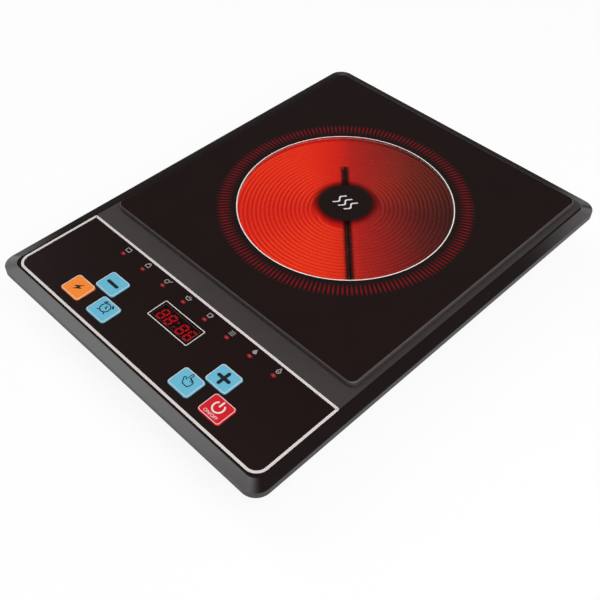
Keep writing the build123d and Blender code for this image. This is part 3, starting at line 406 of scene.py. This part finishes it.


# Black ceramic glass: clear in the round window, printed on top everywhere else, with a matt ground edge that
# is also painted lighter as a highlight, and painted shade round the hub
def glass_material():
    material, tree, shader = new_material("black_glass")
    x, y, z = offset_mm(tree, (print_x, print_y, glass_high.z))
    radius = distance(tree, x, y)
    in_window = within(tree, radius, window_radius)
    off_hub = fade(tree, radius, hub_inner_radius, hub_inner_radius + hub_rim)
    # Round the black hub the window darkens softly out to the shade radius: painted shade at the edge of the
    # glow
    hub_shade_fade = fade(tree, radius, hub_inner_radius, hub_shade_radius)
    # The underside carries no print
    under = fade(tree, calc(tree, "ADD", z, glass_thickness), *underside_band, 1.0, 0.0)
    clear = calc(tree, "MAXIMUM", calc(tree, "MULTIPLY", in_window, off_hub), under)
    # The top face tints light by the square root of its colour, so the square of the fade dims it evenly
    shaded_window = calc(tree, "MULTIPLY", in_window, calc(tree, "MULTIPLY", hub_shade_fade, hub_shade_fade))
    tinted = calc(tree, "MAXIMUM", shaded_window, under)
    black = mottle(tree, glass_cloud, glass_dark, glass_light)
    colour = mix_colour(tree, tinted, black, (glass_tint, glass_tint, glass_tint, 1.0))

    on_ring = ring_print(tree, radius)
    colour = mix_colour(tree, on_ring, colour, srgb(*ring_colour))
    colour = mix_colour(tree, tick_print(tree, x, y, radius), colour, srgb(*tick_colour))
    on_wave = wave_print(tree, x, y)
    colour = mix_colour(tree, on_wave, colour, srgb(*wave_colour))

    # The ground edge on the faces that tilt: matt, and painted lighter as a highlight
    facing = tree.nodes.new("ShaderNodeNewGeometry")
    upright = tree.nodes.new("ShaderNodeSeparateXYZ")
    feed(tree, upright.inputs[0], facing.outputs["True Normal"])
    ground_and_highlight = fade(tree, calc(tree, "ABSOLUTE", upright.outputs[2]), *ground_slope, 1.0, 0.0)
    colour = mix_colour(tree, ground_and_highlight, colour, srgb(*ground_highlight_colour))
    feed(tree, shader.inputs["Base Color"], colour)

    bare = calc(tree, "SUBTRACT", 1.0, calc(tree, "MAXIMUM", on_ring, on_wave))
    feed(tree, shader.inputs["Transmission Weight"], calc(tree, "MULTIPLY", clear, bare))
    polish = fade(tree, noise(tree, polish_cloud), *polish_noise, *polish_roughness)
    matt = calc(tree, "MULTIPLY", ground_and_highlight, ground_roughness)
    feed(tree, shader.inputs["Roughness"], calc(tree, "ADD", polish, matt))
    shader.inputs["IOR"].default_value = glass_ior
    return material


# Housing: grey satin on the deck behind the panel, black on the rest, polished on the bevel and its edge
def housing_material():
    material, tree, shader = new_material("housing_plastic")
    x, y, z = offset_mm(tree, (0, panel_high.y, panel_high.z))
    on_top = fade(tree, z, *deck_band)
    beside = fade(tree, calc(tree, "ABSOLUTE", x), panel_high.x - edge_blur, panel_high.x, 1.0, 0.0)
    behind = fade(tree, y, 0.0, edge_blur)
    on_deck = calc(tree, "MULTIPLY", on_top, calc(tree, "MULTIPLY", beside, behind))
    on_lip = fade(tree, z, -bevel_rise - edge_blur, -bevel_rise, 1.0, 0.0)
    grained = calc(tree, "MAXIMUM", on_deck, on_lip)
    grain = noise(tree, housing_grain)
    black = mottle(tree, housing_cloud, housing_dark, housing_light)
    satin = mottle(tree, housing_cloud, deck_dark, deck_light)
    feed(tree, shader.inputs["Base Color"], mix_colour(tree, on_deck, black, satin))
    finish = fade(tree, grained, 0.0, 1.0, bevel_roughness, satin_roughness)
    uneven = spread(tree, grain, 0.0, housing_roughness_swing)
    feed(tree, shader.inputs["Roughness"], calc(tree, "ADD", finish, uneven))
    bump(tree, shader, calc(tree, "MULTIPLY", grain, grained), housing_relief)
    return material


# Display window: smoked over the digits, black print round them
def window_material():
    material, tree, shader = new_material("smoked_window")
    x, y, _ = offset_mm(tree, window_center)
    clear_x, clear_y = [
        fade(tree, calc(tree, "ABSOLUTE", away), reach - window_margin, reach - window_margin / 2, 1.0, 0.0)
        for away, reach in ((x, module_size.x / 2), (y, module_size.y / 2))
    ]
    clear = calc(tree, "MULTIPLY", clear_x, clear_y)
    black = mottle(tree, window_cloud, window_dark, window_light)
    feed(tree, shader.inputs["Base Color"], mix_colour(tree, clear, black, (*window_tint, 1.0)))
    feed(tree, shader.inputs["Transmission Weight"], clear)
    feed(tree, shader.inputs["Roughness"], spread(tree, noise(tree, window_grain), *window_roughness))
    shader.inputs["IOR"].default_value = window_ior
    shader.inputs["Specular IOR Level"].default_value = window_specular
    return material


# Indicator lenses: red, with the lit core of the lamp under each
def lens_material():
    material, tree, shader = new_material("indicator_red")
    x, y, _ = offset_mm(tree, lens_center)
    along = calc(tree, "SUBTRACT", calc(tree, "WRAP", x, lens_pitch, 0.0), lens_pitch / 2)
    core = fade(tree, distance(tree, along, y), *lens_core, 1.0, 0.0)
    edge = mottle(tree, lens_grain, lens_dark, lens_light)
    colour = mix_colour(tree, core, edge, srgb(*lens_lit))
    feed(tree, shader.inputs["Base Color"], colour)
    feed(tree, shader.inputs["Emission Color"], colour)
    shader.inputs["Emission Strength"].default_value = lens_emission
    feed(tree, shader.inputs["Roughness"], spread(tree, noise(tree, lens_grain), *lens_roughness))
    return material


# Painted sheen of the turns: soft lobes round the heater where a highlight is painted into the glow
def painted_turn_sheen(tree, x, y):
    turn = calc(tree, "ARCTAN2", y, x)
    painted_sheen = 0.0
    for angle, reach, weight in painted_sheen_lobes:
        facing = calc(tree, "COSINE", calc(tree, "SUBTRACT", turn, radians(angle)))
        painted_sheen = calc(tree, "MAXIMUM", painted_sheen, fade(tree, facing, cos(radians(reach)), 1.0, 0.0, weight))
    return painted_sheen


# Painted shade of the limiter's rod on the glow: no light under it, all of it to its sides and beyond its end
def rod_shade(tree, along, across):
    beside = fade(tree, calc(tree, "ABSOLUTE", along), rod_shade_inner, rod_shade_outer)
    rod_end = (rod_low.x - (rod_high.y - heater_y)) / sqrt(2)
    beyond = fade(tree, across, rod_end - rod_shade_outer, rod_end, 1.0, 0.0)
    return calc(tree, "MAXIMUM", beside, beyond)


# Glow of the coil, and the coil's light on the board under it painted in as glow: brightest to the front
# left, with painted shade under the limiter's rod and a painted sheen on the turns
def glow_material(name, colour, stops, painted_sheen, core, roughness):
    material, tree, shader = new_material(name)
    x, y, _ = offset_mm(tree, (0, heater_y, 0))
    # Along runs to the back right, across to the front right
    along = calc(tree, "DIVIDE", calc(tree, "ADD", x, y), sqrt(2))
    across = calc(tree, "DIVIDE", calc(tree, "SUBTRACT", x, y), sqrt(2))
    low, high = stops[0][0], stops[-1][0]
    share = calc(tree, "DIVIDE", along, glow_reach)
    factor = calc(tree, "DIVIDE", calc(tree, "SUBTRACT", share, low), high - low)
    heat = ramp(tree, factor, [((place - low) / (high - low), srgb(*shade)) for place, shade in stops])
    # The painted sheen: a highlight painted on the coil's turns, a shade painted on the board between them
    blend, tint = painted_sheen
    heat = mix_colour(tree, painted_turn_sheen(tree, x, y), heat, tint, blend)
    grain = noise(tree, glow_grain)
    heat = mix_colour(tree, calc(tree, "MULTIPLY", grain, glow_speckle), heat, (0.0, 0.0, 0.0, 1.0))
    feed(tree, shader.inputs["Emission Color"], heat)
    core_start, core_end = inner_turn_radius - inner_turn_blur, inner_turn_radius + inner_turn_blur
    gain = fade(tree, distance(tree, x, y), core_start, core_end, core * glow_strength, glow_strength)
    # Painted shade along the limiter's rod
    lit = rod_shade(tree, along, across)
    feed(tree, shader.inputs["Emission Strength"], calc(tree, "MULTIPLY", lit, gain))
    base = srgb(*colour)
    feed(tree, shader.inputs["Base Color"], mix_colour(tree, grain, base, scaled(base, glow_dark_share)))
    smooth, coarse = roughness - glow_roughness_swing, roughness + glow_roughness_swing
    feed(tree, shader.inputs["Roughness"], spread(tree, grain, smooth, coarse))
    bump(tree, shader, grain, glow_relief)
    return material


# Each surface: its colour in 0 to 255, roughness and grain
finishes = {
    "housing_plastic": housing_material(),
    "base_plastic": surface("base_plastic", (42, 41, 42), 0.55, 0.6, depth_mm=0.02),
    "rubber_black": surface("rubber_black", (30, 30, 31), 0.8, 0.8, depth_mm=0.03, specular=0.3),
    "screw_steel": surface("screw_steel", (168, 168, 170), 0.3, 0.4, metallic=1.0),
    "black_glass": glass_material(),
    "seal_silicone": surface("seal_silicone", (26, 24, 24), 0.7, 0.6),
    "panel_film": surface("panel_film", (28, 17, 16), 0.3, 0.3, depth_mm=0.002, specular=0.18),
    "smoked_window": window_material(),
    "indicator_red": lens_material(),
    "key_blue": surface("key_blue", (102, 181, 208), 0.38, 0.5, swing=0.04, depth_mm=0.003, specular=0.3),
    "key_orange": surface("key_orange", (245, 135, 45), 0.38, 0.5, swing=0.04, depth_mm=0.003, specular=0.3),
    "key_red": surface("key_red", (205, 20, 35), 0.38, 0.5, swing=0.04, depth_mm=0.003, specular=0.3),
    "switch_black": surface("switch_black", (38, 38, 40), 0.45, 0.5),
    "circuit_board": surface("circuit_board", (38, 92, 58), 0.45, 1.4, swing=0.25),
    "display_plastic": surface("display_plastic", (40, 38, 38), 0.5, 0.5),
    "led_red": surface("led_red", (190, 40, 40), 0.2, 0.5, emission=0.4),
    "pan_steel": surface("pan_steel", (176, 176, 174), 0.4, 0.7, metallic=1.0),
    # The board's glow is the coil's light on it, painted in
    "fibre_board": glow_material("fibre_board", (40, 18, 14), board_painted_glow, board_sheen_shade, board_painted_core, 0.85),
    "coil_alloy": glow_material("coil_alloy", (36, 15, 12), coil_glow, coil_sheen_highlight, coil_core, 0.5),
    "rod_quartz": surface("rod_quartz", (20, 15, 15), 0.3, 0.8),
    "steatite": surface("steatite", (214, 204, 186), 0.6, 0.6),
    "terminal_brass": surface("terminal_brass", (190, 158, 92), 0.32, 0.5, metallic=1.0),
    "sink_aluminium": surface("sink_aluminium", (190, 192, 196), 0.38, 0.5, metallic=1.0),
    "device_black": surface("device_black", (30, 30, 32), 0.5, 0.4),
    "capacitor_yellow": surface("capacitor_yellow", (206, 168, 52), 0.4, 0.8),
    "core_ferrite": surface("core_ferrite", (66, 62, 60), 0.6, 0.7),
    "relay_blue": surface("relay_blue", (42, 88, 160), 0.35, 0.6),
    "block_green": surface("block_green", (60, 128, 72), 0.4, 0.6),
    "cable_grey": surface("cable_grey", (150, 150, 152), 0.5, 0.6),
    "lead_sleeve": surface("lead_sleeve", (206, 200, 188), 0.75, 0.4, depth_mm=0.05),
    "fan_plastic": surface("fan_plastic", (34, 34, 36), 0.42, 0.5),
    "stator_steel": surface("stator_steel", (130, 112, 92), 0.4, 0.4, metallic=1.0),
}
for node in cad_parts.values():
    for slot in node.material_slots:
        slot.material = finishes[slot.material.name.split(".")[0]]
ink_silver = surface("ink_silver", (215, 207, 203), 0.4, 0.4, swing=0.05, depth_mm=0.002, specular=0.3)
ink_white = surface("ink_white", (224, 220, 218), 0.5, 0.4, swing=0.05, depth_mm=0.002, specular=0.3)
ink_grey = surface("ink_grey", (150, 146, 144), 0.5, 0.4, swing=0.08, depth_mm=0.002, specular=0.3)
ink_dark = surface("ink_dark", (18, 20, 26), 0.5, 0.4, swing=0.1, depth_mm=0.002, specular=0.3)
digit_red = surface("digit_red", (190, 16, 40), 0.35, 0.5, swing=0.06, emission=1.35)


# Outlines in plan: a shape is a list of points and a list of faces on them
def arc(center, radius, start, end, steps):
    turns = [radians(start + (end - start) * i / steps) for i in range(steps + 1)]
    return [(center[0] + radius * cos(t), center[1] + radius * sin(t)) for t in turns]


def rounded_box(width, length, front_radius, back_radius, steps=8):
    """A rectangle about the origin, anticlockwise from its right back corner."""
    points = []
    for sx, sy, start in ((1, 1, 0), (-1, 1, 90), (-1, -1, 180), (1, -1, 270)):
        radius = back_radius if sy > 0 else front_radius
        center = (sx * (width / 2 - radius), sy * (length / 2 - radius))
        points += arc(center, radius, start, start + 90, steps)
    return points


def polygon(points):
    return points, [list(range(len(points)))]


def disc(center, radius, steps):
    return polygon(arc(center, radius, 0, 360 - 360 / steps, steps - 1))


def bar(center, width, length):
    """A straight bar with round ends."""
    points = rounded_box(width, length, min(width, length) / 2, min(width, length) / 2)
    return polygon([(center[0] + x, center[1] + y) for x, y in points])


def stroke(path, width, closed=False):
    """A line of even width along a path, mitred at its corners."""
    count = len(path)
    left, right = [], []
    for i, (x, y) in enumerate(path):
        ways = []
        for a, b in ((i - 1, i), (i, i + 1)):
            if closed or 0 <= a and b < count:
                (xa, ya), (xb, yb) = path[a % count], path[b % count]
                run = hypot(xb - xa, yb - ya)
                if run > same_point:
                    ways.append(((xb - xa) / run, (yb - ya) / run))
        way_x, way_y = (sum(parts) / len(ways) for parts in zip(*ways))
        reach = width / 2 / max(way_x**2 + way_y**2, mitre_limit)
        left.append((x - way_y * reach, y + way_x * reach))
        right.append((x + way_y * reach, y - way_x * reach))
    runs = range(count if closed else count - 1)
    return left + right, [[i, count + i, count + (i + 1) % count, (i + 1) % count] for i in runs]


def print_piece(name, shapes, center, z, material, body):
    """Ink of a small thickness on a level surface, riding on a body."""
    verts, faces = [], []
    for points, tops in shapes:
        base, count = len(verts), len(points)
        for height in (0, print_thickness):
            verts += [((center[0] + x) * MM, (center[1] + y) * MM, (z + height) * MM) for x, y in points]
        sides = {(a, b) for top in tops for a, b in zip(top, top[1:] + top[:1])}
        faces += [[base + count + i for i in top] for top in tops]
        faces += [[base + i for i in reversed(top)] for top in tops]
        faces += [
            [base + a, base + b, base + count + b, base + count + a]
            for a, b in sorted(sides)
            if (b, a) not in sides
        ]
    mesh = bpy.data.meshes.new(name)
    mesh.from_pydata(verts, [], faces)
    mesh.materials.append(material)
    piece = bpy.data.objects.new(name, mesh)
    bpy.context.scene.collection.objects.link(piece)
    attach(piece, body)


# Silver border along the panel's edge
border_path = rounded_box(
    panel_size.x - border_width,
    panel_size.y - border_width,
    border_front_radius - border_width / 2,
    border_back_radius / 2,
)
border = [stroke(border_path, border_width, closed=True)]
print_piece("panel_border", border, panel_center, panel_z, ink_silver, "housing")

# Frame round the display, and its red digits
display_path = rounded_box(
    window_size.x - display_line_width,
    window_size.y - display_line_width,
    display_line_width,
    display_line_width,
    steps=3,
)
display_frame = [stroke(display_path, display_line_width, closed=True)]
print_piece("display_frame", display_frame, window_center, panel_z, ink_white, "housing")


def digit_bars(x):
    """The seven bars of a figure eight, pointed at their ends."""
    w, h, t = digit_width / 2 - digit_stroke / 2, digit_height / 2 - digit_stroke / 2, digit_stroke / 2
    across = [(0, -h), (0, 0), (0, h)]
    upright = [(sx * w, sy * h / 2) for sx in (-1, 1) for sy in (-1, 1)]
    long_x, long_y = w - digit_gap, h / 2 - digit_gap
    level_bar = [
        (-long_x, 0), (t - long_x, -t), (long_x - t, -t),
        (long_x, 0), (long_x - t, t), (t - long_x, t),
    ]
    upright_bar = [
        (0, -long_y), (t, t - long_y), (t, long_y - t),
        (0, long_y), (-t, long_y - t), (-t, t - long_y),
    ]
    placed = [(center, level_bar) for center in across] + [(center, upright_bar) for center in upright]
    return [
        polygon([(x + cx + px + digit_slant * (cy + py), cy + py) for px, py in outline])
        for (cx, cy), outline in placed
    ]


digits = [shape for x in digit_places for shape in digit_bars(x)]
digits += [disc((0, side * colon_rise), colon_size / 2, 12) for side in (-1, 1)]
print_piece("display_digits", digits, window_center, module_high.z, digit_red, "housing")


# Key prints: a pale line along each key's edge, and a symbol
def minus_symbol():
    return [bar((0, 0), sign_length, sign_width)]


def plus_symbol():
    """A cross with rounded ends."""
    reach, half = sign_length / 2, sign_width / 2
    points = []
    for quarter in range(4):
        tip = arc((reach - half, 0), half, -90, 90, 8) + [(half, half)]
        c, s = round(cos(quarter * pi / 2)), round(sin(quarter * pi / 2))
        points += [(x * c - y * s, x * s + y * c) for x, y in tip]
    return [polygon(points)]


def bolt_symbol():
    return [polygon([(2.4, 4.3), (-3.7, -0.8), (-0.5, -0.6), (-2.6, -4.3), (3.7, 0.9), (0.5, 0.7)])]


def clock_symbol():
    """An alarm clock: dial, hands, and a bell and a foot on each side."""
    center = (0, 0.4)
    line, hand_line, bell_line = 0.9, 0.8, 1.4
    dial = stroke(arc(center, 3.9, 0, 348, 28), line, closed=True)
    hands = stroke([(0, 2.8), center, (1.8, 0.4)], hand_line)
    shapes = [dial, hands]
    for side in (-1, 1):
        bell = stroke(arc(center, 5.5, 90 - side * 28, 90 - side * 60, 6), bell_line)
        foot = stroke([(side * 2.9, -3.1), (side * 3.8, -4.4)], line)
        shapes += [bell, foot]
    return shapes


def hand_symbol():
    """A hand with one finger out, and the lines between the others."""
    line, finger_line = 0.75, 0.6
    outline = [
        (-1.7, 5.6), (-0.9, 6.3), (-0.1, 5.6), (-0.1, 2.4), (1.0, 2.7), (1.7, 2.1),
        (2.5, 2.3), (3.1, 1.6), (3.8, 1.6), (4.3, 0.7), (4.2, -1.4), (3.2, -3.6),
        (-1.3, -3.6), (-2.6, -1.8), (-4.3, 0.6), (-3.7, 1.5), (-2.6, 1.1), (-1.7, 0.2),
    ]
    shapes = [stroke(outline, line, closed=True)]
    shapes += [stroke([(x, 0.4), (x, 2.0)], finger_line) for x in (1.35, 2.8)]
    return shapes


def power_symbol():
    """A broken ring with a bar in its gap."""
    ring_line, bar_width, bar_length = 1.2, 1.3, 5.2
    return [stroke(arc((0, 1.4), 4.2, 128, 412, 30), ring_line), bar((0, 4.4), bar_width, bar_length)]


def lifted(shapes):
    """Shapes moved towards the back of the key, so that its front third stays bare."""
    return [([(x, y + symbol_lift) for x, y in points], tops) for points, tops in shapes]


symbols = {
    "minus": (minus_symbol(), ink_dark),
    "plus": (plus_symbol(), ink_dark),
    "boost": (bolt_symbol(), ink_dark),
    "timer": (lifted(clock_symbol()), ink_dark),
    "function": (lifted(hand_symbol()), ink_dark),
    "power": (power_symbol(), ink_white),
}
for key, (shapes, ink) in symbols.items():
    key_low, key_high = box_mm(f"key_{key}")
    key_center = (key_low + key_high) / 2
    print_piece(f"symbol_{key}", shapes, key_center, key_high.z, ink, f"{key}_key")
    line = rounded_box(
        key_width - 2 * key_edge - key_line_width,
        key_high.y - key_low.y - 2 * key_edge - key_line_width,
        key_corner_radius - key_edge,
        key_corner_radius - key_edge,
    )
    outline = [stroke(line, key_line_width, closed=True)]
    print_piece(f"outline_{key}", outline, key_center, key_high.z, ink_silver, f"{key}_key")


def label(name, words, center, z, material, body):
    """Flat lettering in Blender's own typeface, as a mesh."""
    curve = bpy.data.curves.new(name, "FONT")
    curve.body = words
    curve.size = label_height / capital_share * MM
    curve.align_x = "CENTER"
    curve.align_y = "CENTER"
    curve.extrude = print_thickness / 2 * MM
    written = bpy.data.objects.new(name + "_curve", curve)
    bpy.context.scene.collection.objects.link(written)
    bpy.context.view_layer.update()
    mesh = bpy.data.meshes.new_from_object(written.evaluated_get(bpy.context.evaluated_depsgraph_get()))
    bpy.data.objects.remove(written)
    mesh.materials.clear()
    mesh.materials.append(material)
    piece = bpy.data.objects.new(name, mesh)
    piece.location = Vector((center[0], center[1], z + print_thickness / 2)) * MM
    bpy.context.scene.collection.objects.link(piece)
    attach(piece, body)


label_center = (power_center.x, power_center.y - label_drop)
label("label_power", "ON/OFF", label_center, power_high.z, ink_white, "power_key")


# Pictograms over the indicators: generic cooking signs
def pictograms():
    line, thin = pictogram_line, pictogram_thin_line
    pot = [
        stroke([(-2.2, 1.0), (-2.0, -1.6), (2.0, -1.6), (2.2, 1.0)], line),
        bar((0, 1.5), 5.0, line),
    ]
    kettle = [
        stroke(arc((0, -0.4), 1.9, -30, 210, 14) + [(-1.6, -1.5), (1.6, -1.5)], line, closed=True),
        stroke(arc((0, 0.8), 1.7, 20, 160, 8), thin),
    ]
    frying_pan = [
        stroke(arc((-0.8, -0.3), 1.7, 0, 342, 18), line, closed=True),
        stroke([(0.7, 0.6), (3.0, 2.0)], pictogram_handle),
    ]
    bowl = [
        stroke(arc((0, 0.6), 2.3, 180, 360, 12), line, closed=True),
        stroke([(-0.8, 1.3), (-0.5, 2.2)], thin),
        stroke([(0.6, 1.3), (0.9, 2.2)], thin),
    ]
    cup = [
        stroke([(-1.6, 1.6), (-1.4, -1.6), (1.2, -1.6), (1.4, 1.6)], line, closed=True),
        stroke(arc((1.5, 0.2), 1.0, -80, 80, 8), thin),
    ]
    grill = [bar((0, rise), 4.4, pictogram_bar) for rise in (-1.5, 0.0, 1.5)]
    flame_outline = [
        (0, 2.6), (-0.8, 1.2), (-1.7, 0.2), (-1.5, -1.4),
        (0, -2.0), (1.5, -1.4), (1.7, 0.2), (0.9, 0.6),
    ]
    flame = [polygon(flame_outline)]
    drop = [
        stroke(arc((0, -0.6), 1.5, 150, 390, 14) + [(0, 2.4)], line, closed=True),
        disc((0, -0.6), 0.6, 10),
    ]
    return [pot, kettle, frying_pan, bowl, cup, grill, flame, drop]


for i, sign in enumerate(pictograms()):
    sign_x = lens_center.x + (i - (lens_count - 1) / 2) * lens_pitch
    sign_center = (sign_x, lens_center.y + pictogram_rise)
    print_piece(f"pictogram_{i}", sign, sign_center, panel_z, ink_grey, "housing")


# Camera
turn, rise = radians(camera_azimuth), radians(camera_elevation)
camera_back = Vector((sin(turn) * cos(rise), -cos(turn) * cos(rise), sin(rise)))
camera = bpy.data.objects.new("camera", bpy.data.cameras.new("camera"))
camera.data.lens = camera_lens
camera.data.clip_start = camera_clip * MM
camera.location = (camera_target + camera_back * camera_distance) * MM
camera.rotation_euler = camera_back.to_track_quat("Z", "Y").to_euler()
bpy.context.scene.collection.objects.link(camera)
bpy.context.scene.camera = camera


# White floor that keeps a soft shadow
def floor_material():
    material, tree, shader = new_material("floor")
    shader.inputs["Base Color"].default_value = (floor_grey, floor_grey, floor_grey, 1.0)
    shader.inputs["Roughness"].default_value = floor_roughness
    shader.inputs["Specular IOR Level"].default_value = 0.0
    rays = tree.nodes.new("ShaderNodeLightPath").outputs
    seen = calc(tree, "MAXIMUM", rays["Is Camera Ray"], rays["Is Glossy Ray"])
    seen = calc(tree, "MAXIMUM", seen, rays["Is Transmission Ray"])
    white = tree.nodes.new("ShaderNodeEmission")
    blend = tree.nodes.new("ShaderNodeMixShader")
    feed(tree, blend.inputs[0], calc(tree, "MULTIPLY", seen, floor_white_share))
    tree.links.new(shader.outputs[0], blend.inputs[1])
    tree.links.new(white.outputs[0], blend.inputs[2])
    tree.links.new(blend.outputs[0], tree.nodes["Material Output"].inputs[0])
    return material


def make_floor():
    half = floor_size / 2
    corners = [(-half, -half, 0), (half, -half, 0), (half, half, 0), (-half, half, 0)]
    mesh = bpy.data.meshes.new("floor")
    mesh.from_pydata(corners, [], [(0, 1, 2, 3)])
    mesh.materials.append(floor_material())
    floor = bpy.data.objects.new("floor", mesh)
    bpy.context.scene.collection.objects.link(floor)


make_floor()


# World: white at the horizon, dim overhead
def make_world():
    world = bpy.data.worlds.new("studio")
    bpy.context.scene.world = world
    world.use_nodes = True
    tree = world.node_tree
    place = tree.nodes.new("ShaderNodeTexCoord").outputs["Generated"]
    split = tree.nodes.new("ShaderNodeSeparateXYZ")
    feed(tree, split.inputs[0], place)
    white = (1.0, 1.0, 1.0, 1.0)
    dim = (overhead_grey, overhead_grey, overhead_grey, 1.0)
    sky = ramp(tree, split.outputs[2], [(horizon_height, white), (dusk_height, dim)])
    feed(tree, tree.nodes["Background"].inputs["Color"], sky)


make_world()


# Soft boxes: the key from the left, the fill from the right, and three lower ones that the bevel's corners
# mirror. All but the fill fade towards their edges, as the bevel's sheen does in the photo
def make_soft_box(name, way, width, height, power, edge):
    light = bpy.data.lights.new(name, "AREA")
    light.shape = "RECTANGLE"
    light.size = width
    light.size_y = height
    light.energy = power
    if edge:
        light.use_nodes = True
        tree = light.node_tree
        split = tree.nodes.new("ShaderNodeSeparateXYZ")
        feed(tree, split.inputs[0], tree.nodes.new("ShaderNodeNewGeometry").outputs["Parametric"])
        across, along = [calc(tree, "PINGPONG", split.outputs[i], 0.5) for i in range(2)]
        inward = calc(tree, "MINIMUM", across, along)
        feed(tree, tree.nodes["Emission"].inputs["Strength"], fade(tree, inward, 0.0, edge))
    box = bpy.data.objects.new(name, light)
    box.location = way.normalized() * lamp_distance
    box.rotation_euler = way.to_track_quat("Z", "Y").to_euler()
    bpy.context.scene.collection.objects.link(box)


for name, (way, width, height, power, edge) in lamps.items():
    make_soft_box(name, Vector(way), width, height, power, edge)

bpy.context.scene.view_settings.view_transform = "Standard"
